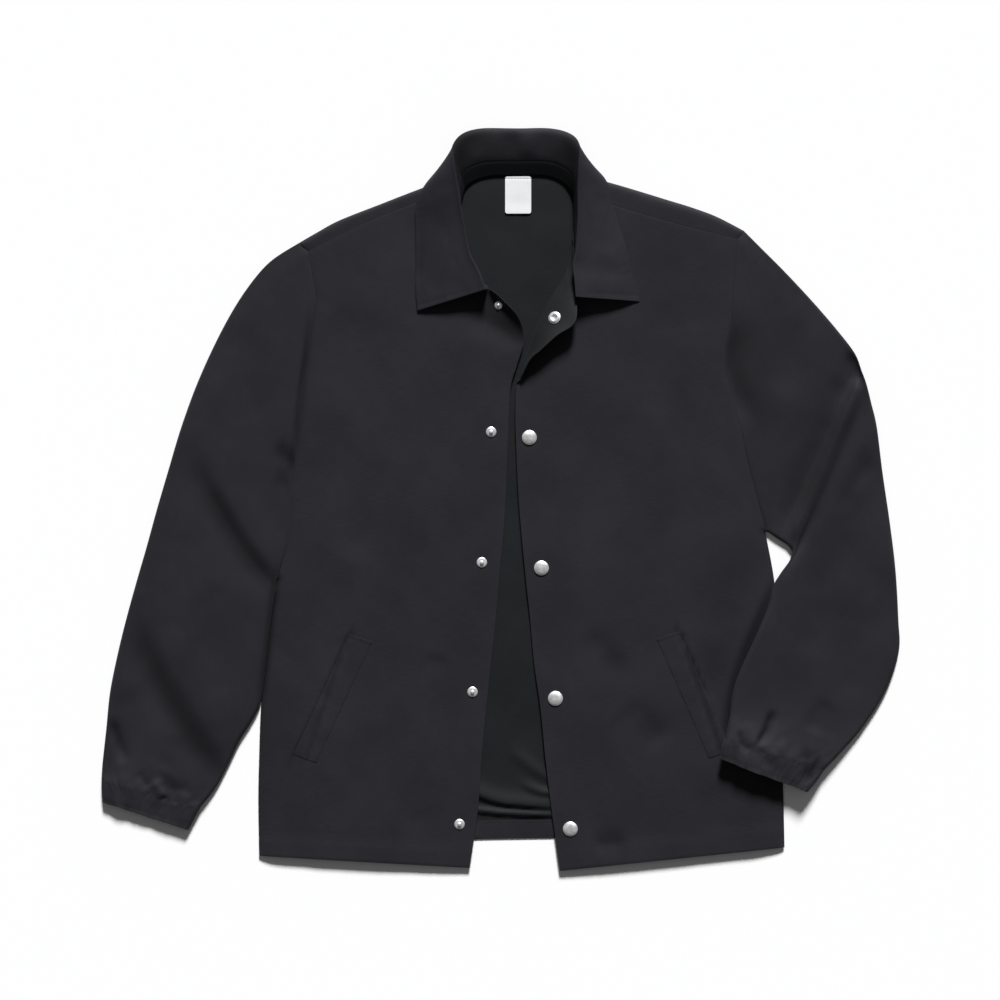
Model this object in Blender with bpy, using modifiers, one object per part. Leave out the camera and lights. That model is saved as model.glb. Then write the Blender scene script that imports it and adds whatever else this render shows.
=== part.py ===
"""Coach jacket lying flat on its back with the front open.

X runs to the viewer's right, Y towards the collar and Z up from the table, so the wearer's right
side is at -X. Sizes and places below are in millimetres on that table; the middle of the jacket's
length and width is at X 0, Y 0. Each cloth piece is a sheet of its own wall, lofted through the
rows of a short table and thickened with Solidify.
"""

import math
from collections import namedtuple

import bmesh
import bpy
from mathutils import Vector
from mathutils.bvhtree import BVHTree

MM = 0.001

# Cloth
WALL = 1.2  # nylon shell with its seam allowances
SEAM_GAP = 0.7  # between neighbouring panels, in plan
ARMHOLE_GAP = 1.8  # across the armhole seam, along X
LAY_GAP = 0.3  # between a panel and what lies on it
FLOOR_LAYER = WALL / 2  # middle of a wall that rests on the table
NEXT_LAYER = FLOOR_LAYER + WALL + LAY_GAP  # middle of a wall laid on that one

# Height of the front panels over the back
SIDE_Z = NEXT_LAYER  # at the side seam
ARMPIT_Z = 3.6
ARMHOLE_Z = 4.9
EDGE_Z = 4.0  # at the front edge, over the turned-up hem
TOP_Z = 5.5  # middle of the panel
SIDE_REACH = 12.0  # distance over which a panel climbs from its side seam
EDGE_REACH = 35.0  # and from its front edge
BOW_REACH = 1 / 8  # share of a panel's length, below its shoulder seam, that follows the seam's bow
CREASE_FADE = 1 / 10  # share of a panel's length over which creases weaken towards that seam
CREASE_LEFT = 0.4  # what is left of them there
FRONT_ROWS = 24
FRONT_COLUMNS = 12
COLUMN_CROWDING = 0.11  # how much closer a panel's columns stand near its two long sides

# Back
BACK_ROWS = 24
SHOULDER_COLUMNS = 9
NECK_COLUMNS = 5
BACK_ARCH_START = 0.45  # share of the back's length where its rows start to follow the shoulders
FOLD_INSET = 2.0  # the flat of the back ends this far inside the shoulder fold
FOLD_TIP_LIFT = 1.2  # the armhole's top end above the middle of that fold
# The wrap's rows, as quarter turns made and the share of the way on to the seam
SHOULDER_WRAP = [(0, 0), (0.6, 0), (1, 0), (1, 0.5), (1, 1)]
HEM_COLUMNS = 12
HEM_BAND_ROWS = 2
BAND_INSET = 22.0  # the turned-up band shown ends this far inside the side seams

# Sleeves
SLEEVE_RISE = 4.9  # upper wall over lower wall
ARMHOLE_ROWS = 4.5  # rows of a sleeve's table over which it takes the armhole's height
BEND_ROWS = 6  # and its bend
ARMHOLE_END_FULL = 0.4  # how full the first ring is at its two ends
SLEEVE_CLEAR = 0.6  # least space between the upper and lower walls
CREASE_KEEP = 3  # power of a section's fullness that keeps creases off its rounded edges
REST_CLEAR = 1.0  # a forearm's lower wall over the front panel it lies on
SIDE_FALL = 45.0  # distance beyond the side seam over which that wall comes down to the table
OVER_FRONT_Y = -35.0  # it starts to climb onto the panel here
OVER_FRONT_REACH = 40.0  # and is all the way up this far below
EDGE_ROUND = 4.5  # plan width of the rounded long edges
EDGE_CROWDING = 0.07  # how much closer the points of a ring stand near those edges
# Rings of each sleeve, columns across its upper wall and across its lower one
RIGHT_SLEEVE_GRID = (28, 14, 5)
LEFT_SLEEVE_GRID = (37, 13, 7)
CUFF_RISE = 7.0
CUFF_GATHERS = 11  # puckers of the elastic across the upper side
GATHER_HEIGHT = 0.9
GATHER_SWELL = (1.0, 0.7, 1.0)  # over the three rings: the elastic holds the middle one down
GATHER_STEPS = 4  # points a pucker
CUFF_UNDER = 10  # points across the lower side

# Trim
WELT_LIFT = WALL + LAY_GAP + 0.1
WELT_COLUMNS = 2
HEM_TURN = 23.0  # turned-up hem of the back, seen in the opening
WELT_STEPS = 8
LABEL_SIZE = (28.0, 40.0)
LABEL_CORNER = 2.5
CORNER_STEPS = 3
LABEL_WALL = 1.0
LABEL_PLACE = (19.0, 327.6)

# Snaps
CAP_RADIUS = 8.0
STUD_RADIUS = 5.6
NECK_STUD_RADIUS = 4.4
SOCKET_RADIUS = 6.8
SNAP_STEPS = 14
SNAP_MERGE = 0.01  # points on the axis of a turned piece that lie this close are one
# Profiles from the middle of the top to the middle of the base, as shares of the radius and heights
CAP_PROFILE = [(0, 2.7), (0.45, 2.5), (0.8, 1.8), (1, 0.7), (1, 0), (0, 0)]
STUD_PROFILE = [(0, 3.2), (0.3, 3.0), (0.4, 2.3), (0.36, 1.4), (0.78, 1.2), (1, 0.6), (1, 0), (0, 0)]
SOCKET_PROFILE = [(0, 0.8), (0.42, 0.8), (0.5, 1.8), (0.78, 2.1), (1, 0.8), (1, 0), (0, 0)]

FrontRow = namedtuple("FrontRow", "side_x side_y edge_x edge_y side_z edge_z")
# rise: upper wall over lower wall; lean: how far a doubled fold leans to the cuff; lift: off the table
SleeveRow = namedtuple("SleeveRow", "outer_x outer_y inner_x inner_y rise lean lift")
FlapRow = namedtuple("FlapRow", "free_x free_y free_z")
CollarRow = namedtuple(
    "CollarRow", "neck_x neck_y neck_z roll_x roll_y roll_z edge_x edge_y edge_z"
)
# Along the stand or the fall, and off that line as a share of ROLL_SPREAD, both with what is added
# where the fall is doubled right over
CollarPoint = namedtuple("CollarPoint", "along doubled_along swell doubled_swell")
Crease = namedtuple("Crease", "depth width points")

# The wearer's right front, hem to shoulder seam
FRONT_RIGHT = [
    FrontRow(-259, -382, -33, -395, SIDE_Z, EDGE_Z),
    FrontRow(-260, -322, -24, -330, SIDE_Z, EDGE_Z),
    FrontRow(-259, -271, -20, -274, SIDE_Z, EDGE_Z),
    FrontRow(-257, -219, -15, -221, SIDE_Z, EDGE_Z),
    FrontRow(-252, -172, -10, -174, SIDE_Z, EDGE_Z),
    FrontRow(-247, -129, -5, -127, 2.6, EDGE_Z),
    FrontRow(-239, -83, -1, -80, ARMPIT_Z, EDGE_Z),
    FrontRow(-228, -48, 3, -37, 4.3, EDGE_Z),
    FrontRow(-224, 0, 6, 13, ARMHOLE_Z, EDGE_Z),
    FrontRow(-220, 52, 8, 64, ARMHOLE_Z, EDGE_Z),
    FrontRow(-216, 108, 10.5, 118, ARMHOLE_Z, EDGE_Z),
    FrontRow(-207, 148, 17.5, 144, ARMHOLE_Z, EDGE_Z),
    FrontRow(-202, 183, 25, 172, ARMHOLE_Z, EDGE_Z),
    FrontRow(-198, 212, 19, 196, ARMHOLE_Z, EDGE_Z),
    FrontRow(-200, 232, 2, 215, ARMHOLE_Z, 3.4),
    FrontRow(-203, 247, -23, 240, ARMHOLE_Z, 2.6),
    FrontRow(-205, 258, -42, 284, ARMHOLE_Z, 2.4),
    FrontRow(-207, 267, -44, 334, ARMHOLE_Z, 2.4),
]

RIGHT_ARMPIT_ROW = 6
RIGHT_BOW = 5.0

# The wearer's left front; its edge is the fold line where the top corner is turned back
FRONT_LEFT = [
    FrontRow(305, -373, 65, -398, SIDE_Z, EDGE_Z),
    FrontRow(304, -322, 55, -326, SIDE_Z, EDGE_Z),
    FrontRow(302, -271, 49, -275, SIDE_Z, EDGE_Z),
    FrontRow(300, -221, 44, -224, SIDE_Z, EDGE_Z),
    FrontRow(298, -172, 37, -174, SIDE_Z, EDGE_Z),
    FrontRow(297, -129, 33, -129, SIDE_Z, EDGE_Z),
    FrontRow(294, -86, 28, -82, 2.6, EDGE_Z),
    FrontRow(284, -33, 23, -30, ARMPIT_Z, EDGE_Z),
    FrontRow(276, 0, 20, 9, 4.5, EDGE_Z),
    FrontRow(265, 41, 18, 54, ARMHOLE_Z, EDGE_Z),
    FrontRow(257, 81, 17, 88, ARMHOLE_Z, EDGE_Z),
    FrontRow(249, 110, 18, 119, ARMHOLE_Z, 3.6),
    FrontRow(242, 138, 23, 144, ARMHOLE_Z, 2.6),
    FrontRow(241, 159, 30, 161, ARMHOLE_Z, 2.4),
    FrontRow(247, 188, 38, 185, ARMHOLE_Z, 2.4),
    FrontRow(249, 215, 52, 214, ARMHOLE_Z, 2.4),
    FrontRow(251, 245, 72, 249, ARMHOLE_Z, 2.4),
    FrontRow(253, 265, 79, 288, ARMHOLE_Z, 2.4),
    FrontRow(255, 280, 82, 330, ARMHOLE_Z, 2.4),
]

LEFT_ARMPIT_ROW = 7
LEFT_BOW = -3.0

# Free side of the turned-back corner, from where it starts up to the neck seam
FLAP_START = 11  # row of FRONT_LEFT where the turned-back corner starts
FLAP_END = 16
FOLD_RADIUS = 2.3
FOLD_WIDTHS = (3.0, 15.0)  # widths of the corner at which it starts to roll over and lies right back
SELVEDGE = 0.7  # what the added columns keep where the panel isn't turned back
FREE_WIDTHS = (9.0, 17.0)  # and at which its free side starts to follow FLAP and follows it wholly
ROLL_PARTS = (0.25, 0.5, 0.75, 1.0)  # columns round the fold
FREE_PARTS = (0.3, 0.65, 1.0)  # and from there to the free side
FLAP = [
    FlapRow(20, 118, 5.0),
    FlapRow(34, 150, 9.5),
    FlapRow(54, 169, 13.0),
    FlapRow(73, 182, 16.0),
    FlapRow(82, 200, 18.0),
    FlapRow(73, 246, 4.5),
]

# Shoulder folds, where the back wraps over to the forward shoulder seams
SHOULDER_RIGHT = [(-216, 276), (-197, 287), (-173, 300), (-130, 317), (-81, 336), (-49, 347)]
SHOULDER_LEFT = [(91, 347), (116, 341), (150, 331), (179, 322), (205, 314), (232, 304), (261, 289)]
NECKLINE = [(-49, 347), (-13, 349), (16, 350), (48, 349.5), (91, 347)]
HEM_RISE = 11.5  # how much higher the back's hem lies at its middle than at the side seams
HEM_INSET = 1.0
HEM_FLATNESS = 3  # the higher, the flatter that line's middle and the steeper its ends

# The wearer's right sleeve, armhole to elastic; it lies on the table beside the body
SLEEVE_RIGHT = [
    SleeveRow(-216, 276, -239, -83, SLEEVE_RISE, 0, 0),
    SleeveRow(-248, 255, -240.5, -87, SLEEVE_RISE, 0, 0),
    SleeveRow(-274, 224, -241.5, -91, SLEEVE_RISE, 0, 0),
    SleeveRow(-298, 184, -243, -96, SLEEVE_RISE, 0, 0),
    SleeveRow(-323, 131, -244.5, -102, SLEEVE_RISE, 0, 0),
    SleeveRow(-342, 80, -246.5, -111, SLEEVE_RISE, 0, 0),
    SleeveRow(-357, 30, -248.5, -123, SLEEVE_RISE, 0, 0),
    SleeveRow(-369, -11, -251.5, -140, SLEEVE_RISE, 0, 0),
    SleeveRow(-380, -51, -254.5, -163, SLEEVE_RISE, 0, 0),
    SleeveRow(-391, -89, -257.5, -194, SLEEVE_RISE, 0, 0),
    SleeveRow(-402, -129, -262, -219, SLEEVE_RISE, 0, 0),
    SleeveRow(-411, -166, -270, -239, SLEEVE_RISE, 0, 0),
    SleeveRow(-419, -206, -280, -258, SLEEVE_RISE, 0, 0),
    SleeveRow(-423, -245, -292, -283, SLEEVE_RISE, 0, 0),
    SleeveRow(-427, -282, -306, -309, 5.5, 0, 0),
    SleeveRow(-428, -299, -322, -329, CUFF_RISE, 0, 0),
]

# The wearer's left sleeve; it doubles at the elbow and its forearm lies on the front
SLEEVE_LEFT = [
    SleeveRow(261, 289, 284, -33, SLEEVE_RISE, 0, 0),
    SleeveRow(283, 267, 286, -34, SLEEVE_RISE, 0, 0),
    SleeveRow(305, 245, 289, -35, SLEEVE_RISE, 0, 0),
    SleeveRow(334, 214, 293, -38, SLEEVE_RISE, 0, 0),
    SleeveRow(360, 184, 299, -42, 4.6, 0, 0),
    SleeveRow(380, 158, 305, -46, 4.0, 0, 0),
    SleeveRow(388, 138, 308, -48, 3.8, 0, 0),
    SleeveRow(393, 124, 313, -54, 8.6, 3, 0),
    SleeveRow(398, 104, 312, -61, 9.4, 0, 0),
    SleeveRow(404, 78, 309, -68, 7.6, 0, 0),
    SleeveRow(410, 30, 302, -79, 6.0, 0, 0),
    SleeveRow(418, -25, 295, -93, 5.4, 0, 0),
    SleeveRow(424, -75, 287, -115, 5.2, 0, 0),
    SleeveRow(427, -127, 275, -144, 5.2, 0, 0),
    SleeveRow(427.5, -163, 264, -168, 5.2, 0, 0),
    SleeveRow(414, -204, 254, -191, 5.2, 0, 0),
    SleeveRow(391, -241, 248, -213, 5.2, 0, 0.6),
    SleeveRow(367, -269, 245, -234, 5.6, 0, 2.2),
    SleeveRow(347, -289, 241, -254, CUFF_RISE, 0, 4.5),
]

CUFF_RIGHT = [
    SleeveRow(-428, -299.8, -322, -329.8, CUFF_RISE, 0, 0),
    SleeveRow(-428, -313, -326, -337, CUFF_RISE, 0, 0),
    SleeveRow(-427, -324, -335, -354, CUFF_RISE, 0, 0),
]
CUFF_LEFT = [
    SleeveRow(346.5, -289.7, 240.7, -254.7, CUFF_RISE, 0, 4.6),
    SleeveRow(339, -301, 238, -263, CUFF_RISE, 0, 5.8),
    SleeveRow(329, -313, 235, -277, CUFF_RISE, 0, 7.0),
]

# The collar, from the wearer's right leaf round the neck to the left one
COLLAR = [
    CollarRow(-14, 226, 4.6, -16, 225, 14, -89, 203, 11),
    CollarRow(-25, 245, 4.6, -24, 246, 15, -91, 228, 9.5),
    CollarRow(-35, 264, 4.6, -33, 264, 16, -91, 258, 8.4),
    CollarRow(-44, 297, 4.6, -40, 299, 17, -91, 292, 8),
    CollarRow(-43, 316, 4.8, -46, 335, 19, -91, 314, 8),
    CollarRow(-40, 330, 5.0, -50, 360, 20, -84, 333, 7.8),
    CollarRow(-37, 337, 3.8, -51, 377, 18, -67, 353, 2.6),
    CollarRow(-28, 343, 2.4, -41, 391, 15, -47, 357, 1.0),
    CollarRow(-12, 348, 2.2, -20, 397.4, 12.5, -20, 355, 0.9),
    CollarRow(17, 349, 2.2, 16, 397.4, 12, 16, 354, 0.9),
    CollarRow(48, 348.5, 2.2, 53, 397.4, 12.5, 53, 355, 0.9),
    CollarRow(64, 343, 2.4, 75, 391, 15, 82, 358, 1.0),
    CollarRow(73, 336, 3.8, 84, 379, 18, 99, 357, 2.6),
    CollarRow(78, 327, 5.0, 84, 360, 20, 114, 341, 7.8),
    CollarRow(79, 314, 4.8, 83, 333, 19, 121, 316, 8),
    CollarRow(79, 293, 4.6, 83, 299, 17, 128, 292, 8),
    CollarRow(80, 267, 4.6, 81, 268, 17, 137, 262, 8.4),
    CollarRow(82, 252, 5.6, 78, 251, 17, 141, 243, 9),
    CollarRow(83.5, 236, 6.6, 79.5, 235, 17, 146, 227, 9.6),
    CollarRow(85, 218, 6.8, 81, 217, 17, 149, 213, 11),
]
STAND_SHARE = 0.12  # where the seam between stand and fall lies, from the neck seam (0) to the edge (1)
STAND_GAP = 0.4
ROLL_SPREAD = 2.6  # half the height of the roll
COLLAR_WALL = 1.4
STAND_SECTION = [
    CollarPoint(0, 0, 0, 0),
    CollarPoint(0.5, 0, 0, 0.4),
    CollarPoint(0.74, 0.12, 0, 0.8),
]
FALL_SECTION = [
    CollarPoint(0, 0, 0, 0),
    CollarPoint(0.13, -0.03, 0, -0.9),
    CollarPoint(0.55, 0, 0.5, -0.8),
    CollarPoint(1, 0, 0, 0),
]
COLLAR_ROWS = 30
STAND_COLUMNS = 3
FALL_COLUMNS = 9

# The folds that show from a step away, as soft troughs and ridges in the upper walls
RIGHT_SLEEVE_CREASES = [
    Crease(-2.6, 12, [(-316, 32), (-302, -8), (-280, -38), (-262, -64), (-248, -82)]),
    Crease(-2.6, 12, [(-378, -138), (-370, -185), (-349, -217), (-328, -252), (-316, -270)]),
    Crease(2.0, 20, [(-330, 30), (-322, -20), (-302, -58), (-285, -84)]),
    Crease(2.0, 20, [(-350, -150), (-340, -190), (-315, -228), (-292, -258)]),
]
LEFT_SLEEVE_CREASES = [
    Crease(-1.6, 12, [(262, 170), (256, 130), (268, 96)]),
    Crease(-1.6, 16, [(372, 40), (350, 6), (336, -14)]),
    Crease(-2.2, 9, [(288, -232), (279, -262)]),
]
RIGHT_FRONT_CREASES = [
    Crease(-1.4, 14, [(-124, 43), (-145, -15), (-156, -65)]),
    Crease(-1.2, 12, [(-206, 158), (-214, 118), (-212, 80)]),
    Crease(-1.5, 12, [(-30, 200), (-12, 186), (8, 176)]),
]
LEFT_FRONT_CREASES = [
    Crease(-1.4, 12, [(96, -142), (118, -170), (130, -185)]),
    Crease(-1.4, 12, [(139, -221), (158, -240), (178, -256)]),
    Crease(-1.2, 10, [(106, -368), (118, -362), (130, -364)]),
    Crease(-1.4, 12, [(128, 318), (140, 312)]),
]

# Pocket welts, as outer top, inner top, inner bottom and outer bottom corners
WELT_RIGHT = [(-162, -144), (-138, -152), (-198, -282), (-222, -273)]
WELT_LEFT = [(191, -141), (168, -149), (224, -277), (248, -269)]

STUDS = [(-10, 73), (-20, -67), (-30, -206), (-44, -348)]
NECK_STUD = (-2, 209)
CAPS = [(31, 67), (44, -73), (59, -213), (75, -353)]
NECK_SOCKET = (58, 195)

# Colour, roughness and how metallic
SHELL_FINISH = ((0.028, 0.027, 0.033), 0.62, 0.0)
INSIDE_FINISH = ((0.016, 0.018, 0.019), 0.7, 0.0)
METAL_FINISH = ((0.72, 0.72, 0.73), 0.25, 1.0)
LABEL_FINISH = ((0.8, 0.8, 0.8), 0.8, 0.0)

ABOVE_ALL = 200.0  # higher than any of the cloth


def clear_scene():
    for thing in list(bpy.data.objects):
        bpy.data.objects.remove(thing, do_unlink=True)


def material(name, colour, roughness, metallic):
    made = bpy.data.materials.new(name)
    made.use_nodes = True
    shader = made.node_tree.nodes["Principled BSDF"]
    shader.inputs["Base Color"].default_value = (*colour, 1.0)
    shader.inputs["Roughness"].default_value = roughness
    shader.inputs["Metallic"].default_value = metallic
    return made


def smooth_row(rows, place):
    """The row at a place from 0 to 1 on the smooth curve through a table's rows."""
    last = len(rows) - 1
    position = min(max(place, 0.0), 1.0) * last
    index = min(int(position), last - 1)
    part = position - index
    a, b, c, d = (rows[min(max(index + step, 0), last)] for step in (-1, 0, 1, 2))
    values = [
        q + 0.5 * part * (r - p + part * (2 * p - 5 * q + 4 * r - s + part * (3 * (q - r) + s - p)))
        for p, q, r, s in zip(a, b, c, d)
    ]
    return type(rows[0])(*values) if hasattr(rows[0], "_fields") else tuple(values)


def smooth_step(value):
    part = min(max(value, 0.0), 1.0)
    return part * part * (3 - 2 * part)


def distance_to_line(x, y, points):
    nearest = math.inf
    for (ax, ay), (bx, by) in zip(points, points[1:]):
        length = (bx - ax) ** 2 + (by - ay) ** 2
        part = ((x - ax) * (bx - ax) + (y - ay) * (by - ay)) / length
        part = min(max(part, 0.0), 1.0)
        nearest = min(nearest, math.hypot(x - ax - part * (bx - ax), y - ay - part * (by - ay)))
    return nearest


def crease_height(x, y, creases):
    return sum(
        crease.depth * math.exp(-((distance_to_line(x, y, crease.points) / crease.width) ** 2))
        for crease in creases
    )


def sheet(name, grid, wall, finish, closed=False, left_out=()):
    """A closed wall round a grid of points in mm; left_out holds the grid's missing (row, column) faces."""
    mesh = bpy.data.meshes.new(name)
    form = bmesh.new()
    vertices = [[form.verts.new(Vector(point) * MM) for point in row] for row in grid]
    columns = len(grid[0])
    for row in range(len(grid) - 1):
        for column in range(columns if closed else columns - 1):
            if (row, column) in left_out:
                continue
            after = (column + 1) % columns
            form.faces.new(
                (
                    vertices[row][column],
                    vertices[row][after],
                    vertices[row + 1][after],
                    vertices[row + 1][column],
                )
            )
    loose = [vertex for vertex in form.verts if not vertex.link_faces]
    bmesh.ops.delete(form, geom=loose, context="VERTS")
    form.to_mesh(mesh)
    form.free()
    piece = bpy.data.objects.new(name, mesh)
    JACKET.objects.link(piece)
    mesh.materials.append(finish)
    mesh.shade_smooth()
    thicken = piece.modifiers.new("Wall", "SOLIDIFY")
    thicken.thickness = wall * MM
    thicken.offset = 0
    return piece


def surface_of(grid):
    """A grid's middle surface, for laying other pieces on it."""
    columns = len(grid[0])
    points = [Vector(point) for row in grid for point in row]
    faces = [
        (r * columns + c, r * columns + c + 1, (r + 1) * columns + c + 1, (r + 1) * columns + c)
        for r in range(len(grid) - 1)
        for c in range(columns - 1)
    ]
    return BVHTree.FromPolygons(points, faces)


def laid_on(surface, x, y, lift):
    """The point and the upward normal, lift above a middle surface at x, y."""
    above = Vector((x, y, ABOVE_ALL))
    place, normal, _, _ = surface.ray_cast(above, Vector((0, 0, -1)))
    if normal.z < 0:
        normal = -normal
    return place + normal * lift, normal


def panel_height(row, share, length):
    """Height of a front panel's middle at a share of the way from its side to its edge."""
    from_side = 1 - math.exp(-share * length / SIDE_REACH)
    from_edge = 1 - math.exp(-(1 - share) * length / EDGE_REACH)
    top = row.edge_z + (TOP_Z - row.edge_z) * from_edge
    return row.side_z + (top - row.side_z) * from_side


def front_shares(columns):
    """Columns set closer at both ends."""
    even = [step / (columns - 1) for step in range(columns)]
    return [part - COLUMN_CROWDING * math.sin(2 * math.pi * part) for part in even]


def front_point(rows, place, share, creases, bow):
    """A front's middle surface; bow lifts its shoulder seam off the straight line between its ends."""
    row = smooth_row(rows, place)
    x = row.side_x + (row.edge_x - row.side_x) * share
    y = row.side_y + (row.edge_y - row.side_y) * share
    length = math.hypot(row.edge_x - row.side_x, row.edge_y - row.side_y)
    bulge = bow * math.sin(math.pi * share) * smooth_step(1 - (1 - place) / BOW_REACH)
    depth = CREASE_LEFT + (1 - CREASE_LEFT) * smooth_step((1 - place) / CREASE_FADE)
    z = panel_height(row, share, length) + crease_height(x, y, creases) * depth
    return x, y + bulge, max(z, NEXT_LAYER)


def front_grid(rows, creases, bow, count, columns):
    shares = front_shares(columns)
    return [
        [front_point(rows, step / (count - 1), share, creases, bow) for share in shares]
        for step in range(count)
    ]


def fold_over(grid):
    """The turned-back corner: columns added past the fold line, level with the panel elsewhere."""
    start = FLAP_START / (len(FRONT_LEFT) - 1)
    end = FLAP_END / (len(FRONT_LEFT) - 1)
    up = Vector((0, 0, 1))
    for step, row in enumerate(grid):
        place = (step / (len(grid) - 1) - start) / (end - start)
        edge = Vector(row[-1])
        outward = edge - Vector(row[-2])
        outward.z = 0
        outward.normalize()
        free = Vector(smooth_row(FLAP, place)[:3])
        width = max((edge - free).dot(outward), 0.0) if 0 <= place <= 1 else 0.0
        angle = math.pi * smooth_step((width - FOLD_WIDTHS[0]) / (FOLD_WIDTHS[1] - FOLD_WIDTHS[0]))
        follow = smooth_step((width - FREE_WIDTHS[0]) / (FREE_WIDTHS[1] - FREE_WIDTHS[0]))
        turned_up = (1 - math.cos(angle)) / 2
        begin = edge - outward * FOLD_RADIUS * turned_up
        arc = [begin]
        for part in ROLL_PARTS:
            phase = angle * part
            out = FOLD_RADIUS * math.sin(phase) + SELVEDGE * part * (1 - turned_up)
            arc.append(begin + outward * out + up * FOLD_RADIUS * (1 - math.cos(phase)))
        leave = outward * math.cos(angle) + up * math.sin(angle)
        row[-1] = tuple(begin)
        row.extend(tuple(point) for point in arc[1:])
        for part in FREE_PARTS:
            upright = arc[-1] + leave * (SELVEDGE + width) * part
            row.append(tuple(upright.lerp(arc[-1].lerp(free, part), follow)))
    return grid


def shoulder_grid(outline, front_row):
    """Rows of the back's wrap, from the fold at the shoulder to the forward seam."""
    rows = []
    for quarters, onward in SHOULDER_WRAP:
        row = []
        for fold, seam in zip(outline, front_row):
            seam_point = Vector(seam)
            fold_point = Vector((fold[0], fold[1], 0))
            away = Vector((fold_point.x - seam_point.x, fold_point.y - seam_point.y, 0)).normalized()
            seam_point += away * SEAM_GAP
            fold_point.z = (FLOOR_LAYER + seam_point.z) / 2
            radius = (seam_point.z - FLOOR_LAYER) / 2
            angle = quarters * math.pi / 2
            turn = fold_point - away * radius * (1 - math.cos(angle))
            turn.z += radius * math.sin(angle)
            row.append(tuple(turn.lerp(seam_point, onward)))
        rows.append(row)
    return rows


def back_hem_y(share):
    """The back's hem line, at a share of the way from the right side seam to the left one."""
    right = FRONT_RIGHT[0].side_y
    left = FRONT_LEFT[0].side_y
    arch = 1 - abs(2 * share - 1) ** HEM_FLATNESS
    return right + (left - right) * share + HEM_INSET + HEM_RISE * arch


def side_curve(rows, tip):
    """The body's side seam, then its armhole, from the hem up to the fold of the shoulder."""
    points = [(row.side_x, row.side_y, row.side_z) for row in rows]
    return points + [(*tip, (FLOOR_LAYER + ARMHOLE_Z) / 2 + FOLD_TIP_LIFT)]


def back_piece(finish, right_side, left_side):
    shares = [column / (SHOULDER_COLUMNS - 1) for column in range(SHOULDER_COLUMNS)]
    right_seam = [
        front_point(FRONT_RIGHT, 1.0, share, RIGHT_FRONT_CREASES, RIGHT_BOW) for share in shares
    ]
    left_seam = [
        front_point(FRONT_LEFT, 1.0, 1 - share, LEFT_FRONT_CREASES, LEFT_BOW) for share in shares
    ]
    outline_right = [smooth_row(SHOULDER_RIGHT, share) for share in shares]
    outline_left = [smooth_row(SHOULDER_LEFT, share) for share in shares]
    neck = [smooth_row(NECKLINE, column / NECK_COLUMNS) for column in range(1, NECK_COLUMNS)]
    top = outline_right + neck + outline_left
    neck_end = SHOULDER_COLUMNS + len(neck)
    shares = [(point[0] - top[0][0]) / (top[-1][0] - top[0][0]) for point in top]
    grid = []
    for step in range(BACK_ROWS):
        place = step / (BACK_ROWS - 1)
        start = Vector(smooth_row(right_side, place)[:2])
        end = Vector(smooth_row(left_side, place)[:2])
        bow = smooth_step((place - BACK_ARCH_START) / (1 - BACK_ARCH_START))
        row = []
        for share, point in zip(shares, top):
            straight = start.lerp(end, share)
            arch = Vector(point) - Vector(top[0]).lerp(Vector(top[-1]), share)
            here = straight + arch * bow
            if step == 0:
                here.y = back_hem_y(share)
            row.append((here.x, here.y, FLOOR_LAYER))
        grid.append(row)
    grid[-1] = [
        (x, y if SHOULDER_COLUMNS <= column < neck_end else y - FOLD_INSET, z)
        for column, (x, y, z) in enumerate(grid[-1])
    ]
    wrap_right = shoulder_grid(outline_right, right_seam)
    wrap_left = shoulder_grid(outline_left, left_seam)
    left_out = set()
    for step, (right_row, left_row) in enumerate(zip(wrap_right, wrap_left)):
        grid.append(right_row + [(0, 0, 0)] * len(neck) + left_row)
        for column in range(SHOULDER_COLUMNS - 1, neck_end):
            left_out.add((BACK_ROWS - 1 + step, column))
    sheet("back_panel", grid, WALL, finish, left_out=left_out)


def back_hem(finish):
    start_x = FRONT_RIGHT[0].side_x
    whole = FRONT_LEFT[0].side_x - start_x
    grid = []
    for band_row in range(HEM_BAND_ROWS + 1):
        turn = HEM_TURN * band_row / HEM_BAND_ROWS
        row = []
        for step in range(HEM_COLUMNS + 1):
            x = start_x + BAND_INSET + (whole - 2 * BAND_INSET) * step / HEM_COLUMNS
            row.append((x, back_hem_y((x - start_x) / whole) + LAY_GAP + turn, NEXT_LAYER))
        grid.append(row)
    sheet("back_hem", grid, WALL, finish)


def armhole_curve(side, first, gap):
    """The sleeve's first ring, a gap out from the body, from the armpit up to the shoulder's fold."""
    return [(x + gap, y, z) for x, y, z in side[first:]]


def rounded(share, length):
    """How full the sleeve's section is, near its two long edges."""
    reach = min(share, 1 - share) * length / EDGE_ROUND
    part = min(reach, 1.0)
    return math.sqrt(max(0.0, 1 - (1 - part) ** 2))


def table_height(x, y):
    return FLOOR_LAYER


def over_left_front(x, y):
    """Height of a wall that lies on the left front and falls to the table beyond its side seam."""
    sides = [(row.side_x, row.side_y) for row in FRONT_LEFT]
    side_x = sides[0][0]
    for (ax, ay), (bx, by) in zip(sides, sides[1:]):
        if ay <= y <= by:
            side_x = ax + (bx - ax) * (y - ay) / (by - ay)
    inside = side_x - x
    contact = SIDE_Z + WALL + REST_CLEAR - FLOOR_LAYER
    if inside > 0:
        upon = contact + (TOP_Z - SIDE_Z) * (1 - math.exp(-inside / SIDE_REACH))
    else:
        upon = contact * smooth_step(1 + inside / SIDE_FALL)
    return FLOOR_LAYER + upon * smooth_step((OVER_FRONT_Y - y) / OVER_FRONT_REACH)


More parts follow.
